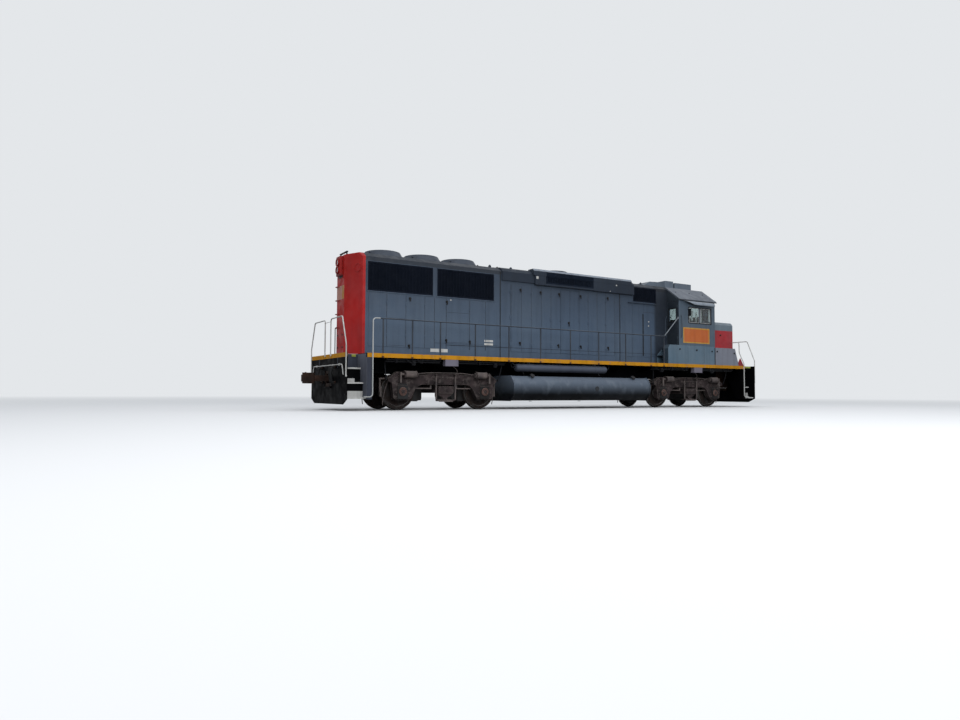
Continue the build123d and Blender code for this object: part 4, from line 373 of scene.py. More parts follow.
step_grips = Part("step_grips", pipe_paint, "black_paint", 0.001)
near, far = STEP_WALL_X + 0.004, END_X - 0.022
for z, outer, plate, short in STEPS:
    step_whites.block((near, far), (outer - 0.015, outer + 0.006), (z - 0.030, z + 0.012))
    riser = outer - STEP_DEPTH + 0.003
    if plate:
        step_whites.block((near + short, far), (riser - 0.004, riser), (z + 0.006, z + 0.006 + plate))
    for bar in range(1, 10):
        step_grips.block(about(near + (far - near) * bar / 10, 0.006),
                         (outer - STEP_DEPTH + 0.02, outer - 0.03), (z - 0.001, z + 0.006))
step_whites.done(0, 1)
step_grips.done(0, 1)

bracket_paint = plain_paint("bracket_yellow_green_enamel", "8f9430", chalky=0.2, dents=0.001)
bracket = Part("step_well_brackets", bracket_paint, "rail_white", 0.004)
bracket.block((7.81, 8.13), span(SILL_Y, -0.055, -0.005), span(SILL_LOW_Z, 0.035, 0.105))
bracket.block((-7.98, -7.86), (0.806, 0.830), span(SILL_LOW_Z, 0.035, 0.105))
bracket.done(1)

sheet_bolts = Part("end_sheet_bolts", pipe_paint, "black_paint", 0.002)
for y, zs in ((0.34, (0.70, 0.85, 1.00, 1.12)), (1.42, (0.45, 0.75, 1.05, 1.35))):
    for z in zs:
        sheet_bolts.stud((END_X, y, z), 0, 0.014, 0.034, sides=6)
sheet_bolts.done(0, 1)

# Couplers
# Cast steel couplers, brown with rust, with painted highlights along their edges. The draft gear behind them
# sits in a welded pocket of the frame, and a frame of bars closes the end sheet round the pocket.
POCKET_Y, MOUTH_Y = 0.227, 0.290          # the pocket's outer face, and past the opening in the end sheet
POCKET_Z, MOUTH_Z = (0.743, 1.067), (0.639, 1.149)


def rusty_casting(name, iron, rust, pale):
    """Sand-cast steel: a grainy skin, brown rust in patches, painted highlights along the edges and dried mud
    on what faces up.
    """
    cast = Surface(name)
    rounded, edge = cast.edges(0.010, 0.6)
    # Pale along every edge is a painted highlight.
    colour = cast.coats(iron, (cast.patches(0.30, 0.36, 0.66, 1.0), rust),
                        (cast.patches(0.12, 0.50, 0.75, 0.22), pale), (edge, pale),
                        (cast.facing("Z", 0.35), pale))
    grain = cast.add("TexNoise", cast.place, 90.0, 3.0)
    bump = cast.add("Bump", inputs={"Strength": 0.3, "Distance": 0.002, "Height": grain, "Normal": rounded})
    rough = cast.add("Math", cast.patches(0.08, 0.30, 0.75, 0.35), 0.62, operation="ADD")
    return cast.shade({"Base Color": colour, "Specular IOR Level": 0.15, "Roughness": rough, "Normal": bump})


coupler_iron = rusty_casting("rusted_cast_steel", "1f1613", "38261e", "4a3e36")
finish(coupler_iron, "draft_gear", "coupler_front", "coupler_rear", "knuckle_front", "knuckle_rear")
strikers = Part("coupler_striker_frames", coupler_iron, "cast_steel", 0.004)
for ys, zs in (((-MOUTH_Y, -POCKET_Y), MOUTH_Z), ((POCKET_Y, MOUTH_Y), MOUTH_Z),
               ((-MOUTH_Y, MOUTH_Y), (MOUTH_Z[0], POCKET_Z[0])),
               ((-MOUTH_Y, MOUTH_Y), (POCKET_Z[1], MOUTH_Z[1]))):
    strikers.block((8.340, 8.370), ys, zs)
strikers.done(0)

# Fuel tank and reservoirs
# The tank is welded plate painted black, grey along its top with painted sky light, and spilt fuel below the
# fillers. The air reservoirs above it are plain rolled cylinders in straps.
TANK_LOW, TANK_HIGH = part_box("fuel_tank")
TANK_Y = 1.36                       # where the tank's side is nearly upright
TUBE_LOW, TUBE_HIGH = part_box("air_reservoirs")
fittings_paint = plain_paint("fittings_black_enamel", "17181d", chalky=0.15, dusty=0.4, dents=0.001)

# Black enamel that goes grey towards the top of the tank's side as painted sky light, with pale runs of fuel.
tank = Surface("tank_black_enamel_with_painted_sky_light")
spilt = tank.add("MapRange", tank.z, 0.4, 0.9, 0.0, 0.5)
tank_colour = tank.coats("020306", (tank.add("MapRange", tank.z, 0.46, 1.02), "6a7686"),
                         (tank.patches(0.35, 0.52, 0.66, spilt), "717a86"))
finish(tank.weather(tank_colour, grime="14161b", chalky=0.06, streaks=0.12, dusty=0.2, gloss=0.36, sheen=0.08),
       "fuel_tank")

# Grey enamel, paler towards the top of the reservoirs and near black underneath.
reservoir = Surface("reservoir_grey_enamel")
paler_upwards = reservoir.add("MapRange", reservoir.z, TUBE_LOW.z, TUBE_HIGH.z - 0.13)
finish(reservoir.weather(reservoir.coats("12121a", (paler_upwards, "737b8e")), chalky=0.15, streaks=0.2,
                         sheen=0.10), "air_reservoirs")

tank_fittings = Part("tank_fittings", fittings_paint, "tank_paint", 0.002)
for x in (-2.20, 2.09):             # the two fillers
    tank_fittings.rod((x, TANK_Y, 1.035), (x, TANK_Y + 0.035, 1.070), 0.150, sides=10)
    tank_fittings.block(about(x, 0.10), about(TANK_Y, 0.010), (1.070, 1.088))
tank_fittings.rod((0.4, TANK_HIGH.y - 0.020, 0.66), (0.4, TANK_HIGH.y - 0.002, 0.66), 0.16, sides=20)
for x in (TANK_LOW.x + 0.02, TANK_HIGH.x - 0.02):
    for step in range(8):
        z = 0.40 + step * 0.07
        y = TANK_Y + 0.085 * (1 - ((z - 0.65) / 0.40) ** 2)
        tank_fittings.stud((x, y, z), 1, 0.012, 0.022, sides=6)
for x in (TANK_LOW.x + 0.9, TANK_LOW.x + 2.9, TANK_HIGH.x - 0.9):
    tank_fittings.rod((x, 1.05, TANK_LOW.z), (x, 1.05, TANK_LOW.z - 0.012), 0.10, sides=6)
tank_fittings.done(1)

drains = []
y = SILL_Y - 0.28
for end, way in ((TUBE_LOW.x, -1), (TUBE_HIGH.x, 1)):
    drains.append([(end - way * 0.02, y, 1.30), (end + way * 0.12, y, 1.30), (end + way * 0.16, y, 1.36),
                   (end + way * 0.16, y, SILL_LOW_Z)])
    drains.append([(end - way * 0.3, y, 1.19), (end - way * 0.3, y, 1.12), (end - way * 0.3, y + 0.05, 1.10)])
tubes("reservoir_pipes", on_both_sides(drains), 0.030, pipe_paint)

# Trucks
# Cast side frames on coil springs over roller-bearing boxes. Everything below the deck carries the same dark
# brown film of brake dust and oil, with painted highlights along the edges and painted shadow round the
# bearing boxes.
AXLE_X = 1.3715                     # from the truck's centre
AXLE_Z = 0.537
FRAME_Y = 1.110                     # outer face of the side frame
CAP_Y = 1.160                       # outer face of the bearing boxes
CYLINDER = (1.222, 1.029)           # y and z of the brake cylinders
truck_iron = rusty_casting("grimy_truck_casting", "231e1f", "3d3435", "958b87")
cylinder_paint = rusty_casting("dusty_brake_cylinder", "4a4546", "645b59", "948c88")
motor_paint = plain_paint("motor_black_enamel", "0f0e0e", chalky=0.05, grime="241c18", dusty=0.35)
cap_paint = rusty_casting("rusted_bearing_cap", "46332f", "5c4640", "9a857e")
for end, centre in (("front", TRUCK_X), ("rear", -TRUCK_X)):
    finish(truck_iron, f"truck_frame_{end}", f"truck_suspension_{end}")
    finish(cylinder_paint, f"brake_gear_{end}")
    finish(motor_paint, f"traction_motors_{end}")
    body = f"truck_{end}"
    bolts, caps, pedestal_shadows, sleeves = (
        Part(f"{name}_{end}", material, "truck_cast_steel", bevel, body) for name, material, bevel in (
            ("truck_bolts", truck_iron, 0.002), ("bearing_caps", cap_paint, 0.002),
            ("pedestal_painted_shadows", motor_paint, 0.0), ("swing_link_sleeves", cylinder_paint, 0.002)))
    heads = []                      # x, z, diameter and height of the bolt heads on the side frame
    for way in (-1, 1):
        x = centre + way * AXLE_X
        caps.rod((x, CAP_Y - 0.006, AXLE_Z), (x, CAP_Y + 0.008, AXLE_Z), 0.250, 0.236, sides=28)
        # Dark plates round each bearing box, with a dark strip above it: painted shadow.
        pedestal_shadows.block(about(x, 0.162), (1.134, 1.138), (0.322, 0.700))
        pedestal_shadows.block(about(x, 0.150), (1.109, 1.114), (0.715, 0.760))
        for index in range(6):
            angle = pi / 3 * index + pi / 6
            bx, bz = x + 0.084 * cos(angle), AXLE_Z + 0.084 * sin(angle)
            bolts.stud((bx, CAP_Y, bz), 1, 0.018, 0.026, sides=6)
        bolts.rod((x, CAP_Y + 0.015, AXLE_Z), (x, CAP_Y + 0.028, AXLE_Z), 0.060, sides=18)
        heads += [(x + offset, z, 0.034, 0.020) for offset in (-0.20, 0.20) for z in (0.40, 0.50, 0.60)]
        heads += [(x + offset, 0.985, 0.030, 0.018) for offset in (-0.13, 0.0, 0.13)]
        for start, stop in ((1.02, 0.99), (1.34, 1.37)):
            bolts.rod((centre + way * start, *CYLINDER), (centre + way * stop, *CYLINDER), 0.216, sides=24)
    heads += [(centre + x, z, 0.030, 0.016) for x in (-0.62, -0.20, 0.20, 0.62) for z in (0.80, 0.88)]
    for x, z, size, height in heads:
        bolts.stud((x, FRAME_Y, z), 1, height, size, sides=6)
    for x in (centre - 0.32, centre + 0.32):
        sleeves.rod((x, 1.170, 0.31), (x, 1.170, 0.98), 0.050)
    sleeves.block(about(centre, 0.240), (1.150, 1.176), (0.485, 0.520))
    sleeves.block(about(centre, 0.235), (1.180, 1.194), (0.240, 0.276))
    bends = ((-0.95, 1.05), (-0.6, 1.09), (0, 1.095), (0.6, 1.09), (0.95, 1.05))
    pipes = [[(centre + x, 1.135, z) for x, z in bends],
             [(centre + 0.45, 1.00, 1.06), (centre + 0.45, 1.10, 1.14), (centre + 0.32, 1.16, 1.24),
              (centre + 0.20, 1.16, 1.33)]]
    for way in (-1, 1):             # the sand pipes
        pipes.append([(centre + way * x, y, z) for x, y, z in
                      ((1.74, 0.98, 0.92), (1.80, 0.92, 0.70), (1.86, 0.80, 0.30), (1.84, 0.78, 0.15))])
    for part in (caps, pedestal_shadows, sleeves, bolts):
        part.done(1)
    tubes(f"truck_brake_pipes_{end}", on_both_sides(pipes), 0.026, cylinder_paint, body)

# Wheelsets
# Forged wheels pressed on their axles. The tread and the flange are polished by the rail, and the
# rest is rust under oil.

# Bright steel where the wheel runs on the rail, and brown oily rust inside that.
wheel = Surface("forged_wheel_steel")
cloud = wheel.patches(0.12, 0.35, 0.68, 1.0)
look = wheel.add("SeparateXYZ", wheel.add("NewGeometry", output="Normal"), output="Y")
round_face = wheel.add("Math", wheel.add("Math", look, operation="ABSOLUTE"), 0.4, operation="LESS_THAN")
tread = wheel.zone(round_face, wide=(0.712, 0.812))
polish = wheel.add("Math", tread, 0.3, operation="MULTIPLY")
rough = wheel.add("Math", wheel.add("Math", cloud, 0.55, operation="ADD"), polish, operation="SUBTRACT")
wheel_colour = wheel.coats("171312", (cloud, "2c211d"), (tread, "6f6d6b"))
finish(wheel.shade({"Base Color": wheel_colour, "Roughness": rough, "Metallic": 0.3}),
       "wheelset_1", "wheelset_2", "wheelset_3", "wheelset_4")

# Long hood
# Three lengths of pressed sheet steel bolted to the deck, sprayed blue-grey. The rear end is red, and
# the red turns the corner on to the sides. Soot from the stack has darkened the roof.
HOOD_REAR_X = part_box("radiator_hood")[0].x
CAB_REAR_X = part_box("cab_side_walls")[0].x - 0.060
RED_WRAP_X = -7.655
ROOF_LINE_Z = 4.244

# Blue-grey enamel with painted shade, darker upwards and darkest just in front of the cab, a little darker
# along the foot at the deck, and brown-grey with soot from the eaves up.
hood = Surface("hood_blue_grey_enamel_with_painted_shade")
hood_red = hood.coats("a5110b", (hood.patches(1.0, 0.40, 0.70, 1.0), "8f100b"))
hood_colour = hood.coats(
    "445468", (hood.patches(2.4, 0.38, 0.66, 1.0), "4b596a"),
    # Painted shade, growing darker upwards under the eaves.
    (hood.add("MapRange", hood.z, 2.50, 4.00, 0.0, 0.70), "272f3b"),
    (hood.zone(0.85, z=(ROOF_LINE_Z, None)), "24282f"),
    (hood.add("MapRange", hood.z, DECK_Z + 0.12, DECK_Z, 0.0, 0.10), "2b2f36"),
    # Painted shade on the last length of hood in front of the cab.
    (hood.add("MapRange", hood.x, 3.50, 3.62, 0.0, 0.75), "17191e"),
    (hood.zone(x=(None, RED_WRAP_X)), hood_red))
hood_finish = hood.weather(hood_colour, grime="1b2029", chalky=0.08, streaks=0.22, dusty=0.30, dust="2a2c31",
                           chalk="4f5f70")
finish(hood_finish, "radiator_hood", "engine_hood", "cabinet_hood", "cab_base")
finish(hood_finish, *[f"hood_door_{side}_{place}" for side in ("right", "left")
                      for place in ("rear", "front")])
black_paint = plain_paint("bracket_black_enamel", "0d0e11", chalky=0.05, dusty=0.2, dents=0.001)

PATCH_Z = (3.199, 3.589)
patch_primer = plain_paint("bare_patch_primer", "a8756a", chalky=0.4, chalk="b99585")
end_plate = Part("rear_bare_patch", patch_primer, "hood_paint", 0.001)
end_plate.block(span(HOOD_REAR_X, -0.004, 0.001), (-0.30, 0.30), PATCH_Z)
end_plate.done()
patch_ochre = plain_paint("patch_ochre_enamel", "a5702b", chalky=0.3)
end_strip = Part("rear_patch_edge", patch_ochre, "hood_paint", 0.001)
end_strip.block(span(HOOD_REAR_X, -0.006, -0.003), (-0.30, -0.14), PATCH_Z)
end_strip.done()

rear_irons = Part("rear_end_irons", black_paint, "black_paint", 0.003)
for z in (1.78, 2.14):
    rear_irons.block(span(HOOD_REAR_X, -0.010, 0.001), (0.17, 0.23), (z, z + 0.05))
rear_irons.mirror(1)
rear_irons.block(span(HOOD_REAR_X, 0.02, 0.07), (-0.41, 0.19), (4.530, 4.565))
for y in (-0.36, 0.14):
    rear_irons.block(span(HOOD_REAR_X, 0.03, 0.06), about(y, 0.02), (4.470, 4.540))
# A black strip under the rear lamp plate: a painted shadow.
rear_irons.block(span(HOOD_REAR_X, -0.012, 0.001), (-0.17, 0.17), (3.83, 3.90))
rear_irons.done()

GRAB_BENDS = ((0.005, 0.10), (-0.075, 0.10), (-0.075, 0.28), (0.005, 0.28))  # x out from the wall, and y
grabs = [[(HOOD_REAR_X + out, y, z) for out, y in GRAB_BENDS] for z in (2.379, 2.779, 3.179, 3.579)]
tubes("rear_end_ladder_irons", grabs, 0.022, plain_paint("grab_red_enamel", "7b1612", chalky=0.1, dents=0.001))

# Hood door hardware
# Each pair of doors has barrel hinges at its outer edges and a turned latch where the doors meet.
# The latches are black with grease, and a dark line of dirt lies in the joint round every door.
DOOR_PITCH = 0.395
FIRST_SEAM_X = -2.745
HUNG_SEAMS = (5, 6, 7)              # the joints round the pair of doors that opens
LATCHES = (                         # x and height of the latches in sight
    (-6.28, 3.249), (-5.06, 3.239), (-6.30, 1.869), (-5.08, 2.079), (-4.26, 2.069), (-2.385, 3.819),
    (-1.59, 3.799), (-0.83, 3.799), (0.08, 3.799), (1.29, 3.829), (-2.41, 2.109), (-0.87, 2.089),
    (0.08, 2.089), (1.30, 2.089),
)
HINGE_H = 0.11
SEAM_LOW_Z = DECK_Z + 0.230
IN_SEAM = span(HOOD_Y, -0.008, 0.002)
latches = Part("door_latches", black_paint, "black_paint", 0.003)
for x, z in LATCHES:
    latches.stud((x, HOOD_Y, z), 1, 0.020, 0.080)
    latches.rod((x, HOOD_Y + 0.020, z), (x, HOOD_Y + 0.038, z), 0.034)
    latches.block(about(x, 0.016), span(HOOD_Y, 0.030, 0.044), (z - 0.09, z + 0.02))
latches.done(1)

seam_dirt_and_shade = plain_paint("seam_dirt_and_shade", "0a0b0d", chalky=0.05, dusty=0.1, dents=0.001)
seams = Part("door_joints", seam_dirt_and_shade, "black_paint")
hinges = Part("door_hinges", hood_finish, "hood_paint", 0.002)
barrels = []                        # x and height of the foot of each hinge
for index in range(12):
    x = FIRST_SEAM_X + index * DOOR_PITCH
    if index in HUNG_SEAMS:
        continue
    seams.block(about(x, 0.004), span(HOOD_Y, -0.007, 0.001), (SEAM_LOW_Z, 3.959))
    if index % 2 == 0:
        for z in (2.00, 2.86, 3.66):
            barrels.append((x, z))
            hinges.block(about(x, 0.05), (HOOD_Y, HOOD_Y + 0.006), (z, z + HINGE_H))
for x in (-7.005, -6.405, -5.795, -5.475, -5.075, -4.265, -3.695):
    seams.block(about(x, 0.005), span(HOOD_Y, -0.007, 0.001), (SEAM_LOW_Z, 3.329))
    barrels += [(x, 2.10), (x, 3.02)]
for x, z in barrels:
    hinges.stud((x, HOOD_Y + 0.010, z), 2, HINGE_H, 0.020, sides=10)
for x in (-3.15, 1.86):             # where the lengths of the hood meet
    seams.block(about(x, 0.014), span(HOOD_Y, -0.009, -0.003), (DECK_Z + 0.02, 4.329))
for xs in ((-5.07, -3.17), (-3.13, 1.84), (1.88, 3.60)):
    seams.block(xs, IN_SEAM, (1.934, 1.945))
# A wide dark strip in the gap between the cabinet doors: painted shade.
seams.block((2.945, 2.995), span(HOOD_Y, -0.008, 0.0015), (1.859, 3.369))
for xs, low, high in (((3.02, 3.55), 1.859, 3.449), ((-6.98, -6.43), 1.859, 2.649),
                      ((-5.05, -4.30), 2.019, 2.929)):
    for zs in ((low, low + 0.006), (high - 0.006, high)):
        seams.block(xs, span(HOOD_Y, -0.008, 0.0012), zs)
seams.done(1)
hinges.done(1)
for side, way in (("right", -1), ("left", 1)):
    handle = Part(f"hung_door_latch_{side}", black_paint, "hood_paint", 0.003, f"hood_door_{side}_rear")
    x, z = FIRST_SEAM_X + 6 * DOOR_PITCH - 0.05, 2.86
    handle.rod((x, way * HOOD_Y, z), (x, way * (HOOD_Y + 0.022), z), 0.080)
    handle.block(about(x, 0.014), (way * (HOOD_Y + 0.020), way * (HOOD_Y + 0.034)), (z - 0.12, z + 0.02))
    handle.done()

bright_fittings = Part("pale_fittings", white_paint, "rail_white", 0.003)
for x, z in ((3.243, 3.106), (3.236, 2.954), (-4.93, 3.299)):
    bright_fittings.block(about(x, 0.022), span(HOOD_Y, -0.010, 0.012), about(z, 0.020))
for x, z, size in ((-1.77, 4.259, 0.085), (1.634, 4.289, 0.045), (1.345, 4.059, 0.028)):
    bright_fittings.block(about(x, size / 2), (1.056, 1.066), about(z, size / 2))
bright_fittings.done(1)

# Blank data plates
# Small plates painted white on the hood's lower side, riveted on where a label would be. There is
# nothing on them.
plates = Part("data_plates", white_paint, "rail_white", 0.001)
for x0, x1, z0, z1, y in ((-5.60, -5.31, 1.714, 1.814, HOOD_Y - 0.008),
                          (-5.29, -5.02, 1.714, 1.814, HOOD_Y - 0.008),
                          (-3.74, -3.42, 2.084, 2.149, HOOD_Y), (-3.74, -3.42, 1.984, 2.049, HOOD_Y)):
    plates.block((x0, x1), (y - 0.002, y + 0.004), (z0, z1))
plates.done(1)

# Grilles
# Radiator and intake openings behind black steel mesh, with the cores dark behind. The mesh is drawn
# at 40 mm where the real one is 12 mm, the finest that shows at this distance.
GRILLES = (                         # x0, x1, z0, z1 and the outer y of each grille
    (-7.59, -5.53, 3.389, 4.219, 0.972), (-5.39, -3.39, 3.389, 4.219, 0.972),
    (2.49, 3.63, 3.799, 4.319, 0.972), (-1.40, 0.60, 4.089, 4.349, 1.050),
)
MESH_PITCH = 0.040
WIRE_HALF = 0.004
GRILLE_RIM = 0.045

# Matt black on the mesh, with a blue cast where the sky lights it, and a little paler on the upper band.
grille_black = plain_paint("mesh_matt_black", "10151f", chalk="171d29", chalky=0.4, grime="040508", dusty=0.1,
                           streaks=0.1, gloss=0.7, dents=0.001, chips=0.0, sheen=0.05)
band_mesh = plain_paint("band_mesh_grey", "161d29", chalk="1d2633", chalky=0.4, grime="0b0d12", dusty=0.1,
                        gloss=0.7, dents=0.001, chips=0.0, sheen=0.05)
finish(grille_black, "hood_grilles")
finish(band_mesh, "brake_grilles")
wires = Part("grille_mesh", grille_black, "grille_dark")
rims = Part("grille_rims", hood_finish, "hood_paint", 0.003)
for x0, x1, z0, z1, y in GRILLES:
    if y < 1.0:
        rims.frame((x0, x1), (z0, z1), (y - 0.004, y + 0.010), 0.030, top=0.020)
    x0, x1, z0, z1 = x0 + GRILLE_RIM, x1 - GRILLE_RIM, z0 + GRILLE_RIM, z1 - GRILLE_RIM
    for index in range(1, int((z1 - z0) / MESH_PITCH)):
        wires.block((x0, x1), (y - 0.012, y - 0.006), about(z0 + index * MESH_PITCH, WIRE_HALF))
    for index in range(1, int((x1 - x0) / MESH_PITCH)):
        wires.block(about(x0 + index * MESH_PITCH, WIRE_HALF), (y - 0.018, y - 0.012), (z0, z1))
rims.block((2.255, 3.615), span(HOOD_Y, -0.008, 0.045), (3.742, 3.757))
wires.done(1)
rims.done(1)

# Brake band, fan cowls, stack and horn
# The roof furniture shares the hood's grey, browner and darker with soot. The band's sides end in a slanting
# crown of folded sheet with a pale painted highlight along its edge. Fans are cast aluminium under welded wire
# guards.
CROWN = ((1.062, 4.329), (1.062, 4.474), (1.010, 4.549), (0.740, 4.549), (0.740, 4.429))      # y and z
CROWN_X = (-1.92, 2.36)
CROWN_SLANT = radians(-55.3)
CROWN_Y = CROWN[0][0]
FANS = ("radiator_fan_1", "radiator_fan_2", "radiator_fan_3", "brake_fan")
HOOD_TOP_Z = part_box("radiator_hood")[1].z
COWL_TOP_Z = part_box("fan_cowls")[1].z
LUG_X = (-7.45, -6.10, -4.82, -3.40, -2.60, 0.45, 2.10, 3.10)
roof_finish = plain_paint("sooty_roof_enamel", "3e444e", chalk="505761", chalky=0.25, streaks=0.3, dusty=0.4,
                          dust="202226", sheen=0.10)
band_finish = plain_paint("band_grey_enamel", "262d38", chalk="3a434f", chalky=0.25, streaks=0.3, dusty=0.4,
                          dust="202226", sheen=0.10)
finish(roof_finish, "fan_cowls", "exhaust_stack")
finish(band_finish, "brake_band")
finish(black_paint, "air_horn")
crown = Part("brake_band_crown", band_finish, "roof_paint", 0.006)
ends = [[crown.bm.verts.new((x, y, z)) for y, z in CROWN] for x in CROWN_X]
for outline in ends:
    crown.bm.faces.new(outline)
for here in range(len(CROWN)):
    after = (here + 1) % len(CROWN)
    crown.bm.faces.new((ends[0][here], ends[0][after], ends[1][after], ends[1][here]))
bmesh.ops.recalc_face_normals(crown.bm, faces=crown.bm.faces)
crown_mesh = Part("brake_band_upper_mesh", band_mesh, "grille_dark")
crown_mesh.block((-1.40, 0.60), span(CROWN_Y, -0.004, 0.002), (4.329, 4.459))
for index in range(4):
    crown_mesh.block((-1.39, 0.59), (CROWN_Y, CROWN_Y + 0.008), about(4.344 + index * MESH_PITCH, WIRE_HALF))
for index in range(int(1.96 / MESH_PITCH)):
    crown_mesh.block(about(-1.38 + index * MESH_PITCH, WIRE_HALF), (CROWN_Y, CROWN_Y + 0.005), (4.334, 4.454))
# A pale strip along the crown's top edge: a painted highlight.
crown_highlight_paint = plain_paint("crown_edge_painted_highlight", "727a86", dusty=0.2)
crown_edge = Part("brake_band_crown_edge", crown_highlight_paint, "roof_paint")
crown_edge.block(CROWN_X, (0.994, 1.078), (4.510, 4.516), Matrix.Rotation(CROWN_SLANT, 4, "X"))
for part in (crown, crown_edge, crown_mesh):
    part.done(1)

# Dull cast aluminium, grey with oxide and soot, which takes most of the gloss away.
casting = Surface("fan_cast_aluminium")
casting_colour = casting.coats("46484c", (casting.patches(0.2, 0.35, 0.7, 1.0), "2b2c2f"))
finish(casting.shade({"Base Color": casting_colour, "Metallic": 0.5, "Roughness": 0.62}), *FANS)
guards = Part("fan_guard_wires", roof_finish, "roof_paint")
roof_lugs = Part("roof_lugs_and_hatch_rims", roof_finish, "roof_paint", 0.003)
for name in FANS:
    low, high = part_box(name)
    x = (low.x + high.x) / 2
    for ring in range(1, 9):
        radius = (high.x - low.x) / 2 * ring / 8
        points = [(x + radius * cos(pi * k / 18), radius * sin(pi * k / 18), COWL_TOP_Z + 0.003)
                  for k in range(36)]
        for a, b in zip(points, points[1:] + points[:1]):
            guards.rod(a, b, 0.008, sides=5)
    for k in range(16):
        bolt = (x + 0.628 * cos(pi / 8 * k), 0.628 * sin(pi / 8 * k))
        roof_lugs.rod((*bolt, HOOD_TOP_Z + 0.030), (*bolt, HOOD_TOP_Z + 0.046), 0.024, sides=6)
guards.done()
for x in LUG_X:
    for y in (-0.735, 0.735):
        roof_lugs.block(about(x, 0.05), about(y, 0.012), span(HOOD_TOP_Z, -0.002, 0.055))
        roof_lugs.rod((x, y - 0.012, HOOD_TOP_Z + 0.055), (x, y + 0.012, HOOD_TOP_Z + 0.055), 0.07)
for x0, x1 in ((-3.05, -1.62), (0.50, 0.82), (1.68, 3.20)):
    for xs, ys in (((x0, x1), (-0.52, -0.50)), ((x0, x1), (0.50, 0.52)), ((x0, x0 + 0.02), (-0.50, 0.50)),
                   ((x1 - 0.02, x1), (-0.50, 0.50))):
        roof_lugs.block(xs, ys, span(HOOD_TOP_Z, -0.001, 0.022))
roof_lugs.done()

# Engine
# A cast iron V engine and its generator, sprayed grey and streaked with oil. They are seen only when
# the hood doors are open, and their covers are bolted on in a row.
finish(plain_paint("engine_grey_enamel", "3d4042", chalky=0.2, grime="1b1511", streaks=0.5), "engine")
covers = Part("engine_covers", fittings_paint, "engine_paint", 0.008)
for index in range(8):
    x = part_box("engine")[0].x + 0.35 + index * 0.44
    covers.block(about(x, 0.17), (0.618, 0.640), (2.50, 3.00))
    covers.rod((x, 0.615, 2.16), (x, 0.645, 2.16), 0.26, sides=20)
covers.done(1)

# Cab
# Welded sheet steel sprayed a lighter grey than the hood, with a paler roof and painted shade on its rear
# wall.
# Its windows are safety glass in black rubber, with bright aluminium sashes at the sides.
WALL_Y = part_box("cab_side_walls")[1].y
CAB_FRONT_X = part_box("cab_side_walls")[1].x + 0.060
ROOF_LOW, ROOF_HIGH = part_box("cab_roof")
STAND_LOW, STAND_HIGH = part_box("control_stand")
SIDE_WINDOW = ((4.70, 5.88), (3.119, 3.669))        # x and z
DOOR_WINDOW = ((1.085, 1.41), (3.149, 3.609))       # y and z

# Grey enamel, near black with painted shade on the wall that faces the engine, and dark green-grey inside.
cab = Surface("cab_grey_enamel_with_painted_shade")
cab_colour = cab.coats(
    "4a5866", (cab.patches(1.6, 0.38, 0.66, 1.0), "505c69"),
    # Painted shade on the faces that look back to the engine.
    (cab.facing("X", cab.zone(0.85, x=(None, 4.6)), -1), "070b12"),
    (cab.zone(0.8, x=(4.24, 6.04), wide=(None, 1.492)), "181b1d"))
cab_finish = cab.weather(cab_colour, chalky=0.15, streaks=0.22, chalk="5d666e")
finish(cab_finish, "cab_side_walls", "cab_end_walls", "cab_door_rear", "cab_door_front")

# Teal-grey enamel on the boxes, red on the small gusset at the corner, and dark painted shade on the rear
# faces.
box = Surface("box_teal_grey_enamel_with_painted_shade")
box_colour = box.coats(
    "526879", (box.patches(1.2, 0.38, 0.66, 1.0), "5a6c7a"), (box.zone(x=(6.12, None)), "767a86"),
    (box.facing("X", 0.7, -1), "16181c"), (box.zone(x=(7.42, None)), "8a1c22"))
finish(box.weather(box_colour, chalky=0.2, streaks=0.2, chalk="6a7a8a"), "equipment_boxes")

# Clear laminated glass with a faint green tint.
glass = Surface("laminated_safety_glass")
finish(glass.shade({"Base Color": "c3cfcf", "Roughness": 0.0, "IOR": 1.45, "Transmission Weight": 1.0}),
       "cab_glass", "cab_door_glass_rear", "cab_door_glass_front")
finish(plain_paint("cab_roof_chalky_enamel", "50565f", chalk="656b75", chalky=0.4, dusty=0.25, dust="5a5e66"),
       "cab_roof")
finish(plain_paint("sunshade_pale_enamel", "7d8691", chalk="8b939d", chalky=0.4), "sunshades")
finish(plain_paint("roof_box_grey_enamel", "555f6b", chalk="6b7480", chalky=0.3, streaks=0.2), "roof_boxes")
finish(plain_paint("seat_black_cloth", "0e0f11", chalky=0.1, dents=0.001), "cab_seats")
finish(plain_paint("stand_grey_green_enamel", "2d332f", chalky=0.1), "control_stand")
rubber = plain_paint("window_rubber_black", "0b0c0d", chalky=0.1, gloss=0.55, dents=0.001)
aluminium = plain_paint("sash_bare_aluminium", "a6a9ac", chalk="84878a", chalky=0.4, gloss=0.3, dents=0.001)

seals = Part("window_seals", rubber, "hose_rubber", 0.004)
sashes = Part("window_sashes", aluminium, "sunshade_paint", 0.003)
(x0, x1), (z0, z1) = SIDE_WINDOW
middle = (x0 + x1) / 2
seals.frame(*SIDE_WINDOW, span(WALL_Y, -0.005, 0.010), 0.030)
for xs in ((x0 + 0.040, middle - 0.050), (middle + 0.050, x1 - 0.040)):
    sashes.frame(xs, (z0 + 0.020, z1 - 0.020), span(WALL_Y, -0.019, -0.006), 0.018)
seals.mirror(1)
for ys, zs in (((0.06, 0.88), (3.469, 3.989)), ((-0.88, -0.06), (3.469, 3.989)),
               ((-1.43, -1.08), (3.029, 3.669))):
    seals.frame(ys, zs, span(CAB_FRONT_X, -0.004, 0.010), 0.028, axis=0)
seals.frame(*DOOR_WINDOW, span(CAB_REAR_X, -0.010, 0.004), 0.028, axis=0)
seals.done()
sashes.done(1)
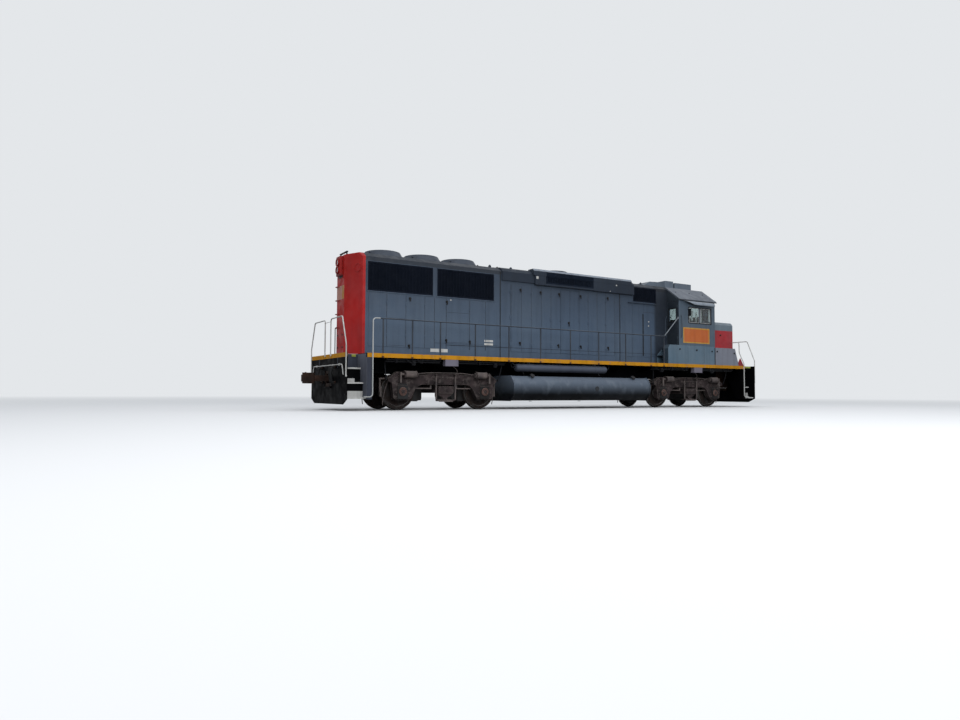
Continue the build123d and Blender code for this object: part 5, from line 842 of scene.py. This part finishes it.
for name, x, way in (("rear", CAB_REAR_X, -1), ("front", CAB_FRONT_X, 1)):
    trim = Part(f"door_window_seal_{name}", rubber, "hose_rubber", 0.003, f"cab_door_{name}")
    ys = sorted(way * y for y in DOOR_WINDOW[0])
    trim.frame(ys, DOOR_WINDOW[1], (x - way * 0.004, x + way * 0.008), 0.026, axis=0)
    trim.rod((x, way * 1.06, 2.98), (x + way * 0.045, way * 1.06, 2.98), 0.022)
    trim.block((x + way * 0.036, x + way * 0.050), (way * 1.05, way * 1.17), (2.970, 2.992))
    trim.done()

papers = Part("window_papers", plain_paint("white_card", "d6d7d6", chalky=0.1, streaks=0.1), "rail_white")
for xs, zs in (((4.90, 5.00), (3.189, 3.589)), ((5.13, 5.21), (3.149, 3.529)), ((5.40, 5.47), (3.169, 3.629))):
    papers.block(xs, (-1.470, -1.468), zs)
papers.done()
shade_cloth = plain_paint("shade_slate_cloth", "39424f", chalky=0.1, sheen=0.02)
shades = Part("window_shades", shade_cloth, "seat_fabric")
shades.block((5.56, 5.87), (1.452, 1.456), (3.129, 3.659))
shades.done(1)

wipers = Part("wipers_and_mirrors", black_paint, "black_paint", 0.002)
x = SIDE_WINDOW[0][0] - 0.06
wipers.stud((x, WALL_Y, 3.60), 1, 0.16, 0.018)
wipers.block(about(x, 0.010), span(WALL_Y, 0.06, 0.16), (3.34, 3.60))
wipers.mirror(1)
for y in (-0.47, 0.47):
    pivot = Vector((CAB_FRONT_X + 0.028, y, 3.99))
    tip = pivot + Vector((0.006, 0.20, -0.42))
    blade = Vector((0, 0.09, 0.13))
    wipers.rod((CAB_FRONT_X, y, 3.99), pivot, 0.035)
    wipers.rod(pivot, tip, 0.014)
    wipers.rod(tip - blade, tip + blade, 0.016)
wipers.done()

x, y = CAB_REAR_X + 0.12, WALL_Y + 0.055
cab_rails = on_both_sides([[(x, WALL_Y, 3.35), (x, y, 3.35), (x, y, 2.55), (x, WALL_Y, 2.55)]])
for x, way, y in ((CAB_FRONT_X, 1, 0.94), (CAB_REAR_X, -1, -0.965)):
    cab_rails.append([(x, y, 3.35), (x + way * 0.07, y, 3.35), (x + way * 0.07, y, 2.60), (x, y, 2.60)])
tubes("cab_grab_irons", cab_rails, 0.024, cab_finish)

drips = Part("roof_drip_strips", black_paint, "cab_roof_paint", 0.002)
drips.block((ROOF_LOW.x, ROOF_HIGH.x), span(ROOF_HIGH.y, -0.004, 0.010), span(ROOF_LOW.z, -0.002, 0.020))
for x in (4.42, 5.14, 5.86):
    drips.rod((x, 1.18, 4.20), (x, 1.18, 4.27), 0.05, sides=8)
drips.done(1)

antennas = Part("antennas", black_paint, "black_paint", 0.003)
base = 4.449
for x, y, height, size in ((4.55, -0.20, 0.10, 0.16), (4.50, 0.30, 0.34, 0.030), (5.70, 0.62, 0.16, 0.11)):
    antennas.stud((x, y, base), 2, 0.05, max(0.09, size))
    antennas.rod((x, y, base + 0.04), (x, y, base + 0.05 + height), size, size * 0.6)
antennas.done()

box_trims = Part("side_box_latches", black_paint, "black_paint", 0.002)
for x, z in ((4.22, 2.122), (5.10, 2.110), (5.93, 2.091)):
    box_trims.stud((x, WALL_Y, z), 1, 0.018, 0.066)
for x in (4.64, 5.50):
    box_trims.block(about(x, 0.004), span(WALL_Y, -0.002, 0.001), (DECK_Z + 0.05, 2.229))
box_trims.mirror(1)
for x, z in ((6.21, 2.100), (7.18, 2.059)):
    box_trims.rod((x, -WALL_Y, z), (x, -WALL_Y - 0.018, z), 0.066)
box_trims.block((6.070, 6.120), (-WALL_Y - 0.001, -WALL_Y + 0.003), (DECK_Z, 2.239))
box_trims.done()
tread_edges = Part("stair_edges", cab_finish, "cab_paint", 0.001)
for xs, zs in (((3.632, 3.642), (1.861, 1.893)), ((3.892, 3.902), (2.101, 2.133))):
    tread_edges.block(xs, (-1.285, -0.99), zs)
tread_edges.done()

stand_parts = Part("control_stand_handles", fittings_paint, "stand_paint", 0.002)
x, top = STAND_LOW.x, STAND_HIGH.z
for index in range(4):
    y = STAND_LOW.y + 0.07 + index * 0.085
    stand_parts.stud((x + 0.09, y, top), 2, 0.012, 0.07)
    stand_parts.rod((x + 0.28, y, top), (x + 0.24, y, top + 0.13), 0.018)
    stand_parts.rod((x + 0.24, y, top + 0.12), (x + 0.24, y, top + 0.16), 0.038)
stand_parts.done()

# Number panels
# A rectangle of orange enamel with a yellow edge, masked and sprayed on each side of the cab over the
# grey. There is nothing on it, and soot runs down it from the window.
PANEL_X, PANEL_Z = (4.45, 5.75), (2.404, 2.884)
panel_yellow = plain_paint("panel_yellow_enamel", "bc8c2c", chalky=0.2, dents=0.002)
borders = Part("panel_borders", panel_yellow, "cab_paint", 0.0005)
borders.block((4.40, 5.80), span(WALL_Y, -0.001, 0.002), (2.359, 2.929))
panel_orange = plain_paint("panel_orange_enamel", "b35a26", chalk="b9855f", chalky=0.3, grime="7c2c18",
                           streaks=0.3, dents=0.002)
fields = Part("panel_fields", panel_orange, "cab_paint", 0.0005)
fields.block(PANEL_X, span(WALL_Y, 0.0005, 0.0032), PANEL_Z)
for part in (borders, fields):
    part.done(1)

# Nose
# The low hood ahead of the cab, red on its sides and front, with a grey top. It has a door at its
# front, sand hatches on top and grab irons up one side.
NOSE_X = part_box("nose")[1].x
NOSE_TOP_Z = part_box("nose")[1].z
RED_Z = (2.299, 2.979)              # the red lies between these levels

# Dull red enamel that has gone brown, grey above and below.
nose = Surface("nose_red_and_grey_enamel")
nose_colour = nose.coats("a02a31", (nose.patches(0.8, 0.4, 0.7, 1.0), "8c2a30"),
                         (nose.zone(z=(RED_Z[1], None)), "67747f"), (nose.zone(z=(None, RED_Z[0])), "67747f"))
nose_finish = nose.weather(nose_colour, chalky=0.15, streaks=0.2)
finish(nose_finish, "nose")
nose_door = Part("nose_door_and_hatches", nose_finish, "nose_paint", 0.005)
nose_door.block(span(NOSE_X, -0.002, 0.014), (-0.34, 0.28), (DECK_Z + 0.16, NOSE_TOP_Z - 0.30))
for z in (2.00, 2.90):
    nose_door.stud((NOSE_X + 0.020, 0.30, z), 2, HINGE_H, 0.022, sides=10)
for y in (-0.55, 0.55):
    nose_door.block((6.50, 6.90), about(y, 0.14), span(NOSE_TOP_Z, -0.002, 0.020))
nose_door.done()
nose_irons = [[(x, y, z) for x, y in ((7.30, 0.970), (7.30, 1.040), (7.66, 1.040), (7.66, 0.970))]
              for z in (2.10, 2.50, 2.90)]
tubes("nose_grab_irons", nose_irons, 0.022, white_paint)
nose_black = Part("nose_handle_and_cocks", black_paint, "black_paint", 0.003)
nose_black.block(span(NOSE_X, 0.012, 0.040), (-0.30, -0.27), (2.42, 2.56))
nose_black.rod((7.10, -0.968, 2.80), (7.10, -0.990, 2.80), 0.07)
nose_black.rod((6.52, -0.968, 2.66), (6.52, -0.985, 2.66), 0.05)
nose_black.done()

# Handrails
# Steel tube and flat posts. The long rails are grey, and the drops beside the steps are white so that
# a hand finds them in the dark.
WHITE_RAIL_X = -7.44
LINE_LOW_Z = SILL_LOW_Z + 0.040

# Grey enamel, white behind the first post, sprayed over with the yellow line and rusty at each foot.
rail = Surface("handrail_enamel")
posts = (WHITE_RAIL_X, 3.6)
rail_colour = rail.coats(
    "2b313a", (rail.zone(x=(None, WHITE_RAIL_X)), "abadad"), (rail.zone(x=(3.44, None)), "74797f"),
    (rail.zone(x=posts, z=(LINE_LOW_Z, DECK_Z - 0.002)), "b07a1f"),
    (rail.zone(x=posts, z=(None, LINE_LOW_Z)), "3a2417"))
finish(rail.weather(rail_colour, chalky=0.2, streaks=0.3, dents=0.001, dusty=0.5, dust="5c646d"), "side_rails")
finish(white_paint, "end_rails", "uncoupling_levers")

# Lamps
# Sealed-beam headlamps one above the other in a cast plate at each end, number boards with blank
# faces, and a pair of low lamps on the front deck.
LAMP_PITCH = 0.225

# Black enamel at the cab end, red like the hood at the other, with a painted shadow darkening it below the
# lamps.
lamp = Surface("lamp_enamel_with_painted_shadow")
red_with_painted_shadow = lamp.coats("8a0f0b", (lamp.add("MapRange", lamp.z, 3.96, 3.84), "2a0a0b"))
lamp_colour = lamp.coats("0d0e11", (lamp.zone(x=(None, 0.0)), red_with_painted_shadow))
finish(lamp.weather(lamp_colour, grime="0c0b0b", chalky=0.05, dents=0.001), "lamps")

# Fluted pressed glass over a silvered bowl, which breaks up what it mirrors.
lens = Surface("headlamp_pressed_glass")
flutes = lens.add("TexWave", lens.place, 14.0, bands_direction="Y")
ribs = lens.add("Bump", inputs={"Strength": 0.4, "Distance": 0.003, "Height": flutes})
lens_finish = lens.shade({"Base Color": "b8bfc3", "Roughness": 0.12, "Metallic": 0.5, "Normal": ribs})
lenses = Part("lamp_lenses", lens_finish, "cab_glass")
for face, way, height in ((CAB_FRONT_X + 0.055, 1, 4.214), (HOOD_REAR_X - 0.095, -1, 4.1615)):
    for z in about(height, LAMP_PITCH / 2):
        lenses.rod((face, 0, z), (face + way * 0.010, 0, z), 0.186, 0.160, sides=28)
for y in (-0.52, 0.52):
    lenses.rod((8.314, y, 1.729), (8.332, y, 1.729), 0.158, 0.130, sides=28)
lenses.done()
boards = Part("blank_number_boards", white_paint, "rail_white", 0.001)
boards.block(span(CAB_FRONT_X, 0.108, 0.114), (0.265, 0.745), (4.084, 4.284))
boards.done(1)

# Hoses
# Rubber air hoses hang in loops at both ends, three on each side of the coupler. Iron couplings gone
# brown with rust screw them to the end sheets.
finish(rubber, "hoses")
couplings = Part("hose_couplings", coupler_iron, "hose_rubber", 0.003)
for end, side in ((-1, -1), (-1, 1), (1, -1), (1, 1)):
    for y in (0.48, 0.56, 0.64):
        for z in (0.789, 1.209):
            couplings.stud((end * END_X, side * y, z), 0, end * 0.035, 0.070, sides=8)
couplings.done()

# Studio
# A plain pale floor that goes over into the backdrop far away, a soft overcast sky with two large
# lamps, and the camera where the photographer stood, looking a little up towards the cab end.
EYE = (-14.70, -18.997, 0.521)
YAW, PITCH, ROLL = radians(30.96), radians(2.72), radians(0.23)
SENSOR_MM = 36.0
FOCAL_PX, FRAME_PX = 682.0, 960
FLOOR_HALF = 160.0
BACKDROP = "e4e7ea"


def in_sight(surface):
    """A share that is full for what the camera sees, straight, mirrored or through glass."""
    rays = surface.add("LightPath").node.outputs
    seen = surface.add("Math", rays["Is Camera Ray"], rays["Is Glossy Ray"], operation="MAXIMUM")
    return surface.add("Math", seen, rays["Is Transmission Ray"], operation="MAXIMUM")


def make_softbox(name, place, aim, size, power):
    """A large soft area lamp aimed at a point."""
    lamp = bpy.data.lights.new(name, "AREA")
    lamp.shape = "RECTANGLE"
    lamp.size, lamp.size_y = size
    lamp.energy = power
    held = bpy.data.objects.new(name, lamp)
    held.location = place
    held.rotation_euler = (Vector(aim) - Vector(place)).to_track_quat("-Z", "Y").to_euler()
    bpy.context.scene.collection.objects.link(held)


floor_mesh = bmesh.new()
bmesh.ops.create_grid(floor_mesh, x_segments=8, y_segments=8, size=FLOOR_HALF)
floor = bpy.data.objects.new("floor", bpy.data.meshes.new("floor"))
floor_mesh.to_mesh(floor.data)
floor_mesh.free()
bpy.context.scene.collection.objects.link(floor)
matt = Surface("studio_floor_matt")
seen = in_sight(matt)
floor.data.materials.append(matt.shade({"Base Color": matt.coats("55534f", (seen, "d4d5d7")),
                                        "Roughness": 0.95, "Specular IOR Level": 0.1}))
distance = matt.add("VectorMath", matt.place, operation="LENGTH")
mixed = matt.add("MixShader", matt.add("MapRange", distance, 14.0, 60.0, 0.0, seen),
                 matt.nodes["Principled BSDF"].outputs[0], matt.add("Emission", BACKDROP, 1.0))
matt.give(matt.nodes["Material Output"].inputs["Surface"], mixed)

sky = Surface("overcast_sky", bpy.data.worlds.new("overcast_sky"))
bpy.context.scene.world = sky.owner
light, backdrop = sky.add("Background", "eef2f6", 0.92), sky.add("Background", BACKDROP, 1.0)
shown = sky.add("MixShader", in_sight(sky), light, backdrop)
sky.give(sky.nodes["World Output"].inputs["Surface"], shown)
make_softbox("softbox_sky", (0, -4, 16), (0, 0, 2), (26, 14), 1300)
make_softbox("softbox_side", (-8, -22, 9), (0, 0, 2.5), (20, 8), 2300)

ahead = Vector((sin(YAW) * cos(PITCH), cos(YAW) * cos(PITCH), sin(PITCH)))
right = Vector((cos(YAW), -sin(YAW), 0))
up = right.cross(ahead)
turn = Matrix((right * cos(ROLL) + up * sin(ROLL), up * cos(ROLL) - right * sin(ROLL), -ahead)).transposed()
camera = bpy.data.objects.new("camera", bpy.data.cameras.new("camera"))
camera.data.sensor_width = SENSOR_MM
camera.data.lens = SENSOR_MM * FOCAL_PX / FRAME_PX
camera.data.clip_end = 1000
camera.matrix_world = Matrix.Translation(EYE) @ turn.to_4x4()
bpy.context.scene.collection.objects.link(camera)
bpy.context.scene.camera = camera
